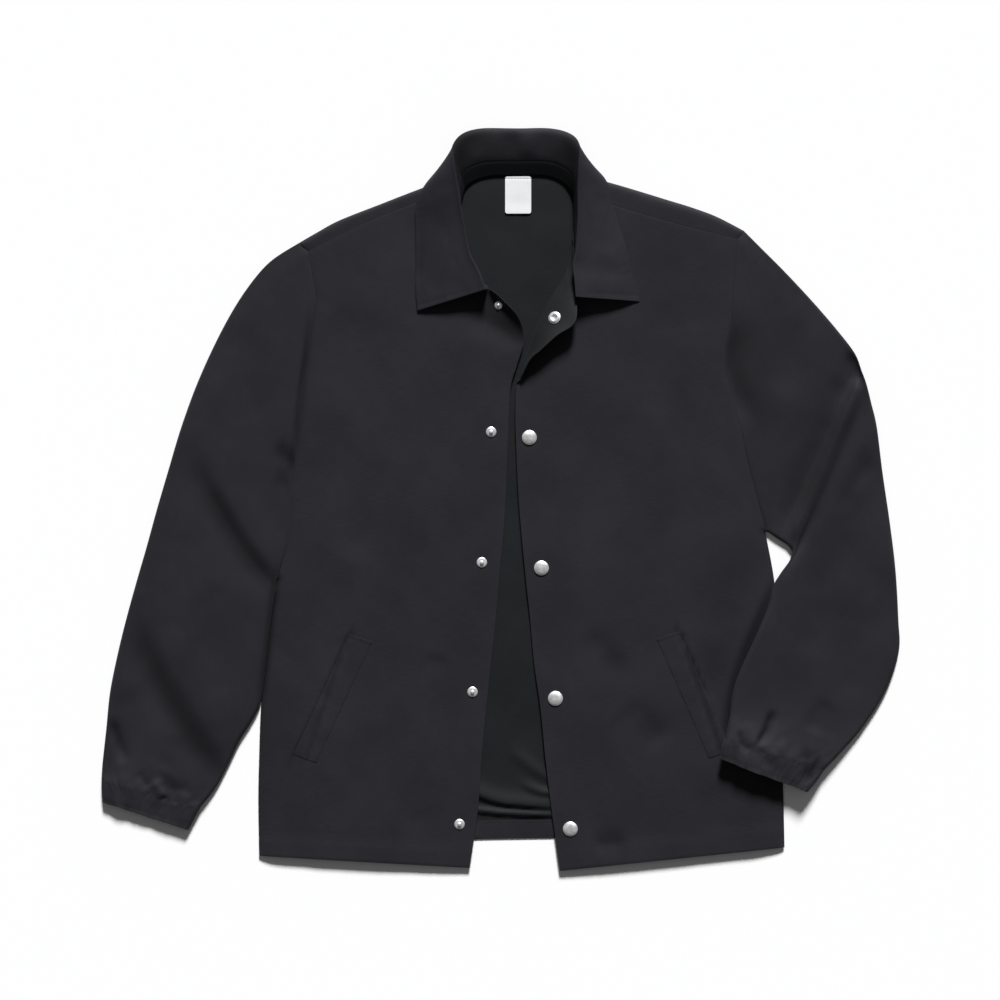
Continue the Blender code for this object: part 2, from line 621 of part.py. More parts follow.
def sleeve_point(rows, place, share, upper, armhole, ground, creases, gathers=0.0):
    """A point of a sleeve's or cuff's wall, at a share of the way from its inner to its outer edge."""
    row = smooth_row(rows, place)
    outer = Vector((row.outer_x, row.outer_y))
    inner = Vector((row.inner_x, row.inner_y))
    here = inner.lerp(outer, share)
    length = (outer - inner).length
    along = Vector((outer.y - inner.y, inner.x - outer.x)).normalized()
    rise = row.rise
    near = 0.0
    if armhole:
        near = 1 - smooth_step(place * len(rows) / ARMHOLE_ROWS)
        seam = Vector(smooth_row(armhole, share))
        first = rows[0]
        chord = Vector((first.inner_x, first.inner_y)).lerp(
            Vector((first.outer_x, first.outer_y)), share
        )
        offset = Vector((seam.x, seam.y)) - chord
        here += offset * max(1 - place * len(rows) / BEND_ROWS, 0.0) ** 2
        rise = rise * (1 - near) + (seam.z - FLOOR_LAYER) * near
    low = ground(here.x, here.y) + max(row.lift, 0.0)
    full = rounded(share, length)
    full += (1 - full) * near * (1 if 0 < share < 1 else ARMHOLE_END_FULL)
    half = rise / 2
    if not upper:
        return here.x, here.y, low + half - half * full
    here += along * row.lean * share * full
    z = low + half + half * full
    z += crease_height(here.x, here.y, creases) * full**CREASE_KEEP * (1 - near)
    if gathers:
        z += gathers * full * math.sin(2 * math.pi * CUFF_GATHERS * share)
    return here.x, here.y, max(z, low + WALL + SLEEVE_CLEAR if full > 0.5 else z)


def sleeve_grid(rows, counts, armhole, ground, creases):
    count, across, under = counts
    grid = []
    for step in range(count):
        place = step / (count - 1)
        row = []
        for index in range(across + 1):
            part = index / across
            share = part - EDGE_CROWDING * math.sin(2 * math.pi * part)
            row.append(sleeve_point(rows, place, share, True, armhole, ground, creases))
        for index in range(under - 1, 0, -1):
            share = (1 - math.cos(math.pi * index / under)) / 2
            row.append(sleeve_point(rows, place, share, False, armhole, ground, creases))
        grid.append(row)
    return grid


def cuff_grid(rows, ground):
    grid = []
    across = CUFF_GATHERS * GATHER_STEPS
    for step, swell in enumerate(GATHER_SWELL):
        place = step / (len(GATHER_SWELL) - 1)
        gathers = GATHER_HEIGHT * swell
        upper = [
            sleeve_point(rows, place, index / across, True, None, ground, [], gathers)
            for index in range(across + 1)
        ]
        lower = [
            sleeve_point(rows, place, index / CUFF_UNDER, False, None, ground, [])
            for index in range(CUFF_UNDER - 1, 0, -1)
        ]
        grid.append(upper + lower)
    return grid


def collar_section(row, share):
    """A point from the neck seam (0) over the roll (0.5) to the edge of the fall (1)."""
    neck = Vector(row[0:3])
    roll = Vector(row[3:6])
    edge = Vector(row[6:9])
    doubled = max(0.0, -(roll - neck).normalized().dot((edge - roll).normalized())) ** 2
    spread = Vector((0, 0, ROLL_SPREAD))
    chain = []
    for start, end, section in ((neck, roll, STAND_SECTION), (roll, edge, FALL_SECTION)):
        for point in section:
            here = start.lerp(end, point.along + point.doubled_along * doubled)
            here += spread * (point.swell + point.doubled_swell * doubled)
            chain.append(tuple(here))
    return smooth_row(chain, share)


def collar_grid(columns, stand):
    grid = []
    for step in range(COLLAR_ROWS):
        row = smooth_row(COLLAR, step / (COLLAR_ROWS - 1))
        height = (Vector(row[3:6]) - Vector(row[0:3])).length
        gap = STAND_GAP / (3 * height)  # the stretch to the roll is half of the section's share
        first, last = (0.0, STAND_SHARE) if stand else (STAND_SHARE + gap, 1.0)
        grid.append(
            [
                collar_section(row, first + (last - first) * column / (columns - 1))
                for column in range(columns)
            ]
        )
    return grid


def turned(name, profile, radius, finish, place, normal):
    """A solid of revolution standing on the cloth at a place, its axis along the cloth's normal."""
    mesh = bpy.data.meshes.new(name)
    points = [(share * radius * MM, 0, height * MM) for share, height in profile]
    edges = [(index, index + 1) for index in range(len(points) - 1)]
    mesh.from_pydata(points, edges, [])
    mesh.materials.append(finish)
    piece = bpy.data.objects.new(name, mesh)
    JACKET.objects.link(piece)
    piece.location = Vector(place) * MM
    piece.rotation_euler = Vector(normal).to_track_quat("Z", "Y").to_euler()
    spin = piece.modifiers.new("Turn", "SCREW")
    spin.axis = "Z"
    spin.steps = SNAP_STEPS
    spin.render_steps = SNAP_STEPS
    spin.use_merge_vertices = True
    spin.merge_threshold = SNAP_MERGE * MM
    spin.use_smooth_shade = True
    return piece


def welt(name, corners, surface, finish):
    outer_top, inner_top, inner_bottom, outer_bottom = (Vector(corner) for corner in corners)
    grid = []
    for step in range(WELT_STEPS + 1):
        outer = outer_top.lerp(outer_bottom, step / WELT_STEPS)
        inner = inner_top.lerp(inner_bottom, step / WELT_STEPS)
        row = []
        for column in range(WELT_COLUMNS + 1):
            spot = outer.lerp(inner, column / WELT_COLUMNS)
            place, _ = laid_on(surface, spot.x, spot.y, WELT_LIFT)
            row.append(tuple(place))
        grid.append(row)
    sheet(name, grid, WALL, finish)


def label(finish):
    """A bare woven label lying on the inside of the back, just under the neck seam."""
    width, height = LABEL_SIZE
    outline = []
    for quarter, (side_x, side_y) in enumerate(((1, 1), (-1, 1), (-1, -1), (1, -1))):
        for step in range(CORNER_STEPS + 1):
            angle = math.pi / 2 * (quarter + step / CORNER_STEPS)
            outline.append(
                (
                    side_x * (width / 2 - LABEL_CORNER) + LABEL_CORNER * math.cos(angle),
                    side_y * (height / 2 - LABEL_CORNER) + LABEL_CORNER * math.sin(angle),
                )
            )
    curve = bpy.data.curves.new("neck_label", "CURVE")
    curve.dimensions = "2D"
    curve.fill_mode = "BOTH"
    curve.extrude = LABEL_WALL / 2 * MM
    line = curve.splines.new("POLY")
    line.points.add(len(outline) - 1)
    for point, (x, y) in zip(line.points, outline):
        point.co = (x * MM, y * MM, 0, 1)
    line.use_cyclic_u = True
    curve.materials.append(finish)
    piece = bpy.data.objects.new("neck_label", curve)
    JACKET.objects.link(piece)
    height_z = WALL + LAY_GAP + LABEL_WALL / 2
    piece.location = (LABEL_PLACE[0] * MM, LABEL_PLACE[1] * MM, height_z * MM)


def build():
    shell = material("nylon_shell", *SHELL_FINISH)
    inside = material("nylon_inside", *INSIDE_FINISH)
    metal = material("snap_metal", *METAL_FINISH)
    white = material("label_weave", *LABEL_FINISH)

    right_grid = front_grid(
        FRONT_RIGHT, RIGHT_FRONT_CREASES, RIGHT_BOW, FRONT_ROWS, FRONT_COLUMNS + 1
    )
    left_grid = front_grid(
        FRONT_LEFT, LEFT_FRONT_CREASES, LEFT_BOW, FRONT_ROWS + 1, FRONT_COLUMNS
    )
    right_surface = surface_of(right_grid)
    left_surface = surface_of(left_grid)
    right_side = side_curve(FRONT_RIGHT, SHOULDER_RIGHT[0])
    left_side = side_curve(FRONT_LEFT, SHOULDER_LEFT[-1])
    back_piece(inside, right_side, left_side)
    back_hem(shell)
    sheet("front_right", right_grid, WALL, shell)
    left_grid = fold_over(left_grid)
    flap_surface = surface_of(left_grid)
    sheet("front_left", left_grid, WALL, shell)

    right_armhole = armhole_curve(right_side, RIGHT_ARMPIT_ROW, -ARMHOLE_GAP)
    left_armhole = armhole_curve(left_side, LEFT_ARMPIT_ROW, ARMHOLE_GAP)
    right_sleeve = sleeve_grid(
        SLEEVE_RIGHT, RIGHT_SLEEVE_GRID, right_armhole, table_height, RIGHT_SLEEVE_CREASES
    )
    left_sleeve = sleeve_grid(
        SLEEVE_LEFT, LEFT_SLEEVE_GRID, left_armhole, over_left_front, LEFT_SLEEVE_CREASES
    )
    sheet("sleeve_right", right_sleeve, WALL, shell, closed=True)
    sheet("sleeve_left", left_sleeve, WALL, shell, closed=True)
    sheet("cuff_right", cuff_grid(CUFF_RIGHT, table_height), WALL, shell, closed=True)
    sheet("cuff_left", cuff_grid(CUFF_LEFT, over_left_front), WALL, shell, closed=True)

    sheet("collar_stand", collar_grid(STAND_COLUMNS, True), COLLAR_WALL, inside)
    sheet("collar_fall", collar_grid(FALL_COLUMNS, False), COLLAR_WALL, shell)

    welt("pocket_welt_right", WELT_RIGHT, right_surface, shell)
    welt("pocket_welt_left", WELT_LEFT, left_surface, shell)
    label(white)

    lift = WALL / 2 + LAY_GAP
    for number, (x, y) in enumerate(STUDS, 1):
        place, normal = laid_on(right_surface, x, y, lift)
        turned(f"snap_stud_{number}", STUD_PROFILE, STUD_RADIUS, metal, place, normal)
    place, normal = laid_on(right_surface, *NECK_STUD, lift)
    turned("snap_stud_neck", STUD_PROFILE, NECK_STUD_RADIUS, metal, place, normal)
    for number, (x, y) in enumerate(CAPS, 1):
        place, normal = laid_on(left_surface, x, y, lift)
        turned(f"snap_cap_{number}", CAP_PROFILE, CAP_RADIUS, metal, place, normal)
    place, normal = laid_on(flap_surface, *NECK_SOCKET, lift)
    turned("snap_socket_neck", SOCKET_PROFILE, SOCKET_RADIUS, metal, place, normal)


clear_scene()
JACKET = bpy.data.collections.new("coach_jacket")
bpy.context.scene.collection.children.link(JACKET)
build()
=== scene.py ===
import math

import bmesh
import bpy
import numpy as np
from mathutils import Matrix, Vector
from mathutils.bvhtree import BVHTree


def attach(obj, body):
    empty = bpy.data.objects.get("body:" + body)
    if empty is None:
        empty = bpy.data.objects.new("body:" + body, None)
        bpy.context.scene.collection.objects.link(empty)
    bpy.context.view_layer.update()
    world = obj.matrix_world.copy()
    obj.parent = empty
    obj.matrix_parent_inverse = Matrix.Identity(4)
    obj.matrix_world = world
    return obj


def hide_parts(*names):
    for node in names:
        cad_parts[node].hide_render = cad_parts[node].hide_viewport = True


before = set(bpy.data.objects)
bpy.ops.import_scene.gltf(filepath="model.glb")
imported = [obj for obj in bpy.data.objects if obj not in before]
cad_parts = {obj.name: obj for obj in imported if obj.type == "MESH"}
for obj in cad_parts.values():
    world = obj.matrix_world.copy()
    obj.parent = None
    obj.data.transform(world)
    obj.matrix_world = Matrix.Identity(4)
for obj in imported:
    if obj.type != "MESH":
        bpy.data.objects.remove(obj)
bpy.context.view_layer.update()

print("frame loaded:", len(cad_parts), "nodes")

# Lengths are in millimetres until a mesh is made. X runs to the viewer's right, Y to the collar,
# Z up from the surface the jacket lies on; the wearer's right side is at -X.
mm = 0.001

cloth = {
    "wall": 0.5,
    "floor": 0.32,  # middle of a wall that lies on the surface
    "raise": 0.3,  # upper walls stand this much over the middle of the frame's thicker walls
    "seamGap": 0.05,
    "seamDrop": 0.22,  # how deep a seam draws the cloth in
    "seamReach": 3.0,
    "edgeRound": 0.1,
}

heights = {"side": 2.1, "armhole": 4.9, "top": 5.5, "sideReach": 12.0, "edgeReach": 35.0}


# Reading short tables and shaping cloth

def smoothStep(value):
    part = np.clip(value, 0.0, 1.0)
    return part * part * (3 - 2 * part)


def throughRows(rows, places):
    # smooth curve through a table's rows, read at places from 0 to 1
    table = np.array(rows, float)
    last = len(table) - 1
    position = np.clip(np.asarray(places, float), 0, 1) * last
    index = np.minimum(position.astype(int), last - 1)
    part = (position - index)[..., None]
    a, b, c, d = (table[np.clip(index + step, 0, last)] for step in (-1, 0, 1, 2))
    return b + 0.5 * part * (c - a + part * (2 * a - 5 * b + 4 * c - d + part * (3 * (b - c) + d - a)))


def softNoise(x, y, sizeX, sizeY, seed):
    # smooth random heights from -1 to 1, the same on every run
    table = np.random.default_rng(seed).uniform(-1, 1, (128, 128))
    gridX = np.asarray(x) / sizeX + 61.3
    gridY = np.asarray(y) / sizeY + 59.7
    cellX = np.floor(gridX).astype(int)
    cellY = np.floor(gridY).astype(int)
    partX = gridX - cellX
    partY = gridY - cellY
    partX = partX ** 3 * (partX * (partX * 6 - 15) + 10)
    partY = partY ** 3 * (partY * (partY * 6 - 15) + 10)
    corner = [[table[(cellX + i) % 128, (cellY + j) % 128] for j in (0, 1)] for i in (0, 1)]
    low = corner[0][0] * (1 - partX) + corner[1][0] * partX
    high = corner[0][1] * (1 - partX) + corner[1][1] * partX
    return low * (1 - partY) + high * partY


def creaseHeight(x, y, creases):
    # each crease: depth, reach on the left of its run, reach on the right, points of the run
    total = np.zeros(np.shape(x))
    for depth, leftReach, rightReach, points in creases:
        count = 6 * (len(points) - 1)
        run = throughRows(points, np.linspace(0, 1, count + 1))
        nearest = np.full(np.shape(x), 1e9)
        side = np.zeros(np.shape(x))
        along = np.zeros(np.shape(x))
        for step in range(count):
            (ax, ay), (bx, by) = run[step], run[step + 1]
            dx, dy = bx - ax, by - ay
            part = np.clip(((x - ax) * dx + (y - ay) * dy) / (dx * dx + dy * dy), 0, 1)
            offX, offY = x - ax - part * dx, y - ay - part * dy
            far = np.hypot(offX, offY)
            closer = far < nearest
            nearest = np.where(closer, far, nearest)
            side = np.where(closer, dx * offY - dy * offX, side)
            along = np.where(closer, (step + part) / count, along)
        reach = np.where(side > 0, leftReach, rightReach)
        ends = smoothStep(along * 3.2) * smoothStep((1 - along) * 3.2)
        total += depth * ends * np.exp(-((nearest / reach) ** 2))
    return total


def alongColumns(grid):
    # distance run along each column of a grid, from its first row
    steps = np.linalg.norm(np.diff(grid[..., :2], axis=0), axis=-1)
    return np.vstack([np.zeros(grid.shape[1]), np.cumsum(steps, axis=0)])


def alongRows(grid):
    steps = np.linalg.norm(np.diff(grid[..., :2], axis=1), axis=-1)
    return np.hstack([np.zeros((grid.shape[0], 1)), np.cumsum(steps, axis=1)])


def seamLine(distance, run, depth=0.3, pucker=0.16, wave=8.5, seed=1):
    # a stitched line draws the cloth in and puckers it on both sides
    ripple = np.sin(2 * math.pi * (run / wave + 0.4 * softNoise(run, run * 0, 27, 27, seed)))
    strength = 0.55 + 0.45 * softNoise(run, run * 0, 41, 41, seed + 3)
    groove = -depth * np.exp(-((distance / 1.3) ** 2))
    return groove + pucker * strength * ripple * np.exp(-((distance / 6.5) ** 2))


def crowded(count, share):
    # parts from 0 to 1 that stand closer at both ends
    even = np.linspace(0, 1, count)
    return even - share * np.sin(2 * math.pi * even)


# Meshes

def gridMesh(name, grid, flip=False, closed=False, leftOut=None, weave=None, folds=None):
    rows, columns = grid.shape[:2]
    index = np.arange(rows * columns).reshape(rows, columns)
    nextColumn = np.roll(index, -1, axis=1)
    last = columns if closed else columns - 1
    quads = np.stack([index[:-1], nextColumn[:-1], nextColumn[1:], index[1:]], -1)[:, :last]
    if leftOut is not None:
        quads = quads[~leftOut]
    quads = quads.reshape(-1, 4)
    if flip:
        quads = quads[:, ::-1]
    used, inverse = np.unique(quads, return_inverse=True)
    quads = inverse.reshape(-1, 4)
    points = grid.reshape(-1, 3)[used] * mm
    mesh = bpy.data.meshes.new(name)
    mesh.from_pydata(points.tolist(), [], quads.tolist())
    flat = (grid[..., :2] if weave is None else weave).reshape(-1, 2)[used] * mm
    layer = mesh.uv_layers.new(name="weave")
    layer.data.foreach_set("uv", flat[quads.reshape(-1)].astype(np.float32).ravel())
    if folds is not None:
        # the fold attribute holds painted shade: how far cloth around a point keeps the light off it, from
        # 0 to 1
        fold = mesh.attributes.new("fold", "FLOAT", "POINT")
        fold.data.foreach_set("value", folds.reshape(-1)[used].astype(np.float32))
    mesh.shade_smooth()
    return mesh


def paintedShadeAmount(grid, shades, columns=None):
    # painted shade: runs as in the tables of creases, with a darkness up to 1 in place of the depth, for
    # the fold attribute
    depth = np.clip(creaseHeight(grid[..., 0], grid[..., 1], shades), 0, 1)
    if columns is not None:
        depth[:, columns:] = 0
    return depth


def clothPiece(name, mesh, outer, inner, wall=None, roundEdge=None):
    piece = bpy.data.objects.new(name, mesh)
    bpy.context.scene.collection.objects.link(piece)
    mesh.materials.append(outer)
    mesh.materials.append(inner)
    thicken = piece.modifiers.new("wall", "SOLIDIFY")
    thicken.thickness = (wall or cloth["wall"]) * mm
    thicken.offset = 0
    thicken.material_offset = 1
    soften = piece.modifiers.new("edge", "BEVEL")
    soften.width = (roundEdge or cloth["edgeRound"]) * mm
    soften.segments = 2
    soften.limit_method = "ANGLE"
    soften.angle_limit = math.radians(65)
    return piece


def surfaceOf(grid):
    rows, columns = grid.shape[:2]
    index = np.arange(rows * columns).reshape(rows, columns)
    quads = np.stack([index[:-1, :-1], index[:-1, 1:], index[1:, 1:], index[1:, :-1]], -1)
    return BVHTree.FromPolygons(grid.reshape(-1, 3).tolist(), quads.reshape(-1, 4).tolist())


def heightOn(surface, x, y):
    place, normal, _, _ = surface.ray_cast(Vector((x, y, 200)), Vector((0, 0, -1)))
    return place, (normal if normal.z > 0 else -normal)


def sheetArea(grid, closed=False):
    around = np.concatenate([grid, grid[:, :1]], axis=1) if closed else grid
    a = around[1:, 1:] - around[:-1, :-1]
    b = around[1:, :-1] - around[:-1, 1:]
    return float(np.linalg.norm(np.cross(a, b), axis=-1).sum() / 2) * 1e-6


# Materials

def node(tree, kind, inputs=None, **settings):
    made = tree.nodes.new(kind)
    for name, value in settings.items():
        setattr(made, name, value)
    for name, value in (inputs or {}).items():
        if isinstance(value, bpy.types.NodeSocket):
            tree.links.new(value, made.inputs[name])
        else:
            made.inputs[name].default_value = value
    return made


def spread(tree, value, low, high, fromLow=0.0, fromHigh=1.0):
    # a value's range mapped to another
    limits = {"Value": value, "From Min": fromLow, "From Max": fromHigh, "To Min": low, "To Max": high}
    return node(tree, "ShaderNodeMapRange", limits).outputs[0]


def newMaterial(name):
    made = bpy.data.materials.new(name)
    made.use_nodes = True
    return made, made.node_tree, made.node_tree.nodes["Principled BSDF"]


def dressShader(tree, shader, colour, tone, height, strength, distance):
    # colour by tone, and fine relief from a height
    toned = node(tree, "ShaderNodeVectorMath", {0: colour, "Scale": tone}, operation="SCALE")
    tree.links.new(toned.outputs[0], shader.inputs["Base Color"])
    bump = node(tree, "ShaderNodeBump", {"Height": height, "Strength": strength, "Distance": distance})
    tree.links.new(bump.outputs[0], shader.inputs["Normal"])


shellCloth = {
    "colour": (0.0168, 0.0161, 0.0199),
    "shade": 0.80,  # darkest patches, as a share of the colour
    "light": 1.16,
    # share of the colour left where the painted shade is fullest
    "paintedShadeTone": 0.3,
    "thread": 0.42,  # mm from one thread to the next
    "crinkle": 1.5,  # mm, the fine broken surface of air-textured nylon
    "roughness": (0.58, 0.72),
    "sheen": 0.035,
    "gloss": 0.13,
    "bump": 0.09,  # mm
}

insideCloth = {
    "colour": (0.0083, 0.0095, 0.0106),
    "shade": 0.80,
    "light": 1.2,
    # share of the colour left where the painted shade is fullest
    "paintedShadeTone": 0.3,
    "thread": 0.42,
    "crinkle": 2.2,
    "roughness": (0.54, 0.68),
    "sheen": 0.03,
    "gloss": 0.16,
    "bump": 0.06,
}

labelCloth = {
    "colour": (0.76, 0.78, 0.79),
    "shade": 0.93,
    "light": 1.03,
    # share of the colour left where painted shade is fullest; the label gets none
    "paintedShadeTone": 0.8,
    "thread": 0.34,
    "crinkle": 0.9,
    "roughness": (0.48, 0.6),
    "sheen": 0.1,
    "gloss": 0.3,
    "bump": 0.04,
}


def wovenMaterial(name, look):
    made, tree, shader = newMaterial(name)
    place = node(tree, "ShaderNodeUVMap", uv_map="weave").outputs["UV"]
    object3d = node(tree, "ShaderNodeTexCoord").outputs["Object"]
    # plain weave: raised threads cross in both directions
    turns = 2 * math.pi / (look["thread"] * 2 * mm)
    split = node(tree, "ShaderNodeSeparateXYZ", {"Vector": place})
    waves = []
    for axis in "XY":
        turned = node(tree, "ShaderNodeMath", {0: split.outputs[axis], 1: turns}, operation="MULTIPLY")
        waves.append(node(tree, "ShaderNodeMath", {0: turned.outputs[0]}, operation="SINE").outputs[0])
    weave = node(tree, "ShaderNodeMath", {0: waves[0], 1: waves[1]}, operation="MULTIPLY")
    crinkle = node(
        tree, "ShaderNodeTexNoise",
        {"Vector": object3d, "Scale": 1 / (look["crinkle"] * mm), "Detail": 4.0, "Roughness": 0.62},
    ).outputs["Fac"]
    patches = node(
        tree, "ShaderNodeTexNoise", {"Vector": object3d, "Scale": 14.0, "Detail": 3.0, "Roughness": 0.5},
    )
    slub = node(tree, "ShaderNodeMapping", {"Vector": place, "Scale": (90.0, 1600.0, 1.0)})
    threads = node(tree, "ShaderNodeTexNoise", {"Vector": slub.outputs[0], "Scale": 1.0, "Detail": 2.0})
    both = {0: patches.outputs["Fac"], 1: threads.outputs["Fac"]}
    tone = node(tree, "ShaderNodeMath", both, operation="ADD").outputs[0]
    mottle = spread(tree, tone, look["shade"], look["light"], 0.75, 1.25)
    # painted shade: the colour is darkened by the fold attribute in creases, under raised edges and in
    # corners where shade falls
    fold = node(tree, "ShaderNodeAttribute", attribute_name="fold").outputs["Fac"]
    paintedShadeFactor = spread(tree, fold, 1.0, look["paintedShadeTone"])
    shade = node(tree, "ShaderNodeMath", {0: mottle, 1: paintedShadeFactor}, operation="MULTIPLY").outputs[0]
    weaveHeight = node(tree, "ShaderNodeMath", {0: weave.outputs[0], 1: 0.35}, operation="MULTIPLY")
    relief = node(tree, "ShaderNodeMath", {0: weaveHeight.outputs[0], 1: crinkle}, operation="ADD")
    dressShader(tree, shader, look["colour"], shade, relief.outputs[0], 0.7, look["bump"] * mm)
    tree.links.new(spread(tree, crinkle, *look["roughness"], 0.3, 0.7), shader.inputs["Roughness"])
    shader.inputs["Specular IOR Level"].default_value = look["gloss"]
    shader.inputs["Sheen Weight"].default_value = look["sheen"]
    shader.inputs["Sheen Roughness"].default_value = 0.45
    shader.inputs["Sheen Tint"].default_value = (0.86, 0.86, 0.95, 1.0)
    return made


snapMetal = {"colour": (0.86, 0.86, 0.87), "metallic": 0.68, "roughness": (0.34, 0.46), "scratch": 0.004}


def metalMaterial(name, look):
    made, tree, shader = newMaterial(name)
    object3d = node(tree, "ShaderNodeTexCoord").outputs["Object"]
    fine = {"Vector": object3d, "Scale": 1900.0, "Detail": 3.0, "Roughness": 0.6}
    grain = node(tree, "ShaderNodeTexNoise", fine).outputs["Fac"]
    broad = {"Vector": object3d, "Scale": 260.0, "Detail": 2.0}
    cloud = node(tree, "ShaderNodeTexNoise", broad).outputs["Fac"]
    tree.links.new(spread(tree, cloud, *look["roughness"], 0.35, 0.65), shader.inputs["Roughness"])
    tone = spread(tree, cloud, 0.9, 1.06, 0.3, 0.7)
    dressShader(tree, shader, look["colour"], tone, grain, 0.4, look["scratch"] * mm)
    shader.inputs["Metallic"].default_value = look["metallic"]
    return made


threadLook = {"colour": (0.0145, 0.0140, 0.0172), "ply": 0.5, "relief": 0.08}


def threadMaterial(name, look):
    made, tree, shader = newMaterial(name)
    object3d = node(tree, "ShaderNodeTexCoord").outputs["Object"]
    twist = {"Vector": object3d, "Scale": 1 / (look["ply"] * mm), "Detail": 1.0}
    ply = node(tree, "ShaderNodeTexNoise", twist).outputs["Fac"]
    tone = spread(tree, ply, 0.75, 1.3, 0.3, 0.7)
    dressShader(tree, shader, look["colour"], tone, ply, 0.5, look["relief"] * mm)
    shader.inputs["Roughness"].default_value = 0.62
    shader.inputs["Specular IOR Level"].default_value = 0.2
    shader.inputs["Sheen Weight"].default_value = 0.04
    return made


shell = wovenMaterial("shellNylon", shellCloth)
inside = wovenMaterial("insideNylon", insideCloth)
satin = wovenMaterial("labelSatin", labelCloth)
metal = metalMaterial("snapSteel", snapMetal)
thread = threadMaterial("sewingThread", threadLook)


def finishPiece(piece, slot, *nodes):
    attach(piece, "root")
    if nodes:
        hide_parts(*nodes)


# Fronts. Columns of a row: side x, side y, edge x, edge y, height at the side, height at the edge

rightFront = {
    "rows": [
        (-259, -382, -33, -395, 2.1, 4.0),
        (-260, -322, -24, -330, 2.1, 4.0),
        (-259, -271, -20, -274, 2.1, 4.0),
        (-257, -219, -15, -221, 2.1, 4.0),
        (-252, -172, -10, -174, 2.1, 4.0),
        (-247, -129, -5, -127, 2.6, 4.0),
        (-239, -83, -1, -80, 3.6, 4.0),
        (-228, -48, 3, -37, 4.3, 4.0),
        (-224, 0, 6, 13, 4.9, 4.0),
        (-220, 52, 8, 64, 4.9, 4.0),
        (-216, 108, 10.5, 118, 4.9, 4.0),
        (-207, 148, 17.5, 144, 4.9, 4.0),
        (-202, 183, 25, 172, 4.9, 4.0),
        (-198, 212, 19, 196, 4.9, 4.0),
        (-200, 232, 2, 215, 4.9, 3.4),
        (-203, 247, -23, 240, 4.9, 2.6),
        (-205, 258, -42, 284, 4.9, 2.4),
        (-207, 267, -44, 334, 4.9, 2.4),
    ],
    "armpitRow": 6,
    "bow": 5.0,
    "neckLip": (8.0, 3.5, 233.0, 168.0),  # height, reach, and between which Y
    "rowsMade": 190,
    "columnsMade": 76,
    "seed": 11,
    # depth, reach left of the run, reach right of it, points of the run
    "creases": [
        (-1.5, 10, 26, [(-120, 50), (-138, 0), (-148, -40), (-156, -70)]),
        (-1.3, 7, 16, [(-205, 160), (-213, 130), (-214, 100), (-211, 72)]),
        (-1.5, 9, 16, [(-40, 206), (-16, 190), (6, 178), (18, 160)]),
        (-0.9, 5, 16, [(-85, -170), (-70, -173.5), (-56, -173)]),
        (-0.8, 16, 30, [(-180, 205), (-140, 180), (-96, 170)]),
        (0.9, 16, 30, [(-60, 110), (-86, 60), (-96, 0), (-92, -60)]),
        (-0.7, 12, 30, [(-236, -250), (-200, -300), (-150, -338)]),
        (-0.6, 8, 18, [(-110, -352), (-86, -340), (-58, -346)]),
    ],
    # painted shade of creases, cast shadows and seams: darkness, reach left and right of the run, points of
    # the run
    "shades": [
        (1.0, 8, 14, [(-40, 262), (-16, 222), (-4, 206), (6, 196), (14, 184), (22, 156)]),
        (0.55, 5, 5, [(-200, 232), (-206, 180), (-212, 120), (-218, 70), (-224, 14)]),
        (0.8, 4, 5, [(-236, -50), (-241, -92), (-246, -127), (-250, -165), (-255, -205), (-259, -240)]),
        (0.8, 2.5, 2.2, [(-154, -126), (-163, -145), (-182, -188), (-202, -232), (-222, -272),
                         (-230, -290)]),
    ],
    "dimples": [(-10, 73), (-20, -67), (-30, -206), (-44, -348)],
    "pocket": [(-162, -144), (-138, -152), (-198, -282), (-222, -273)],
}

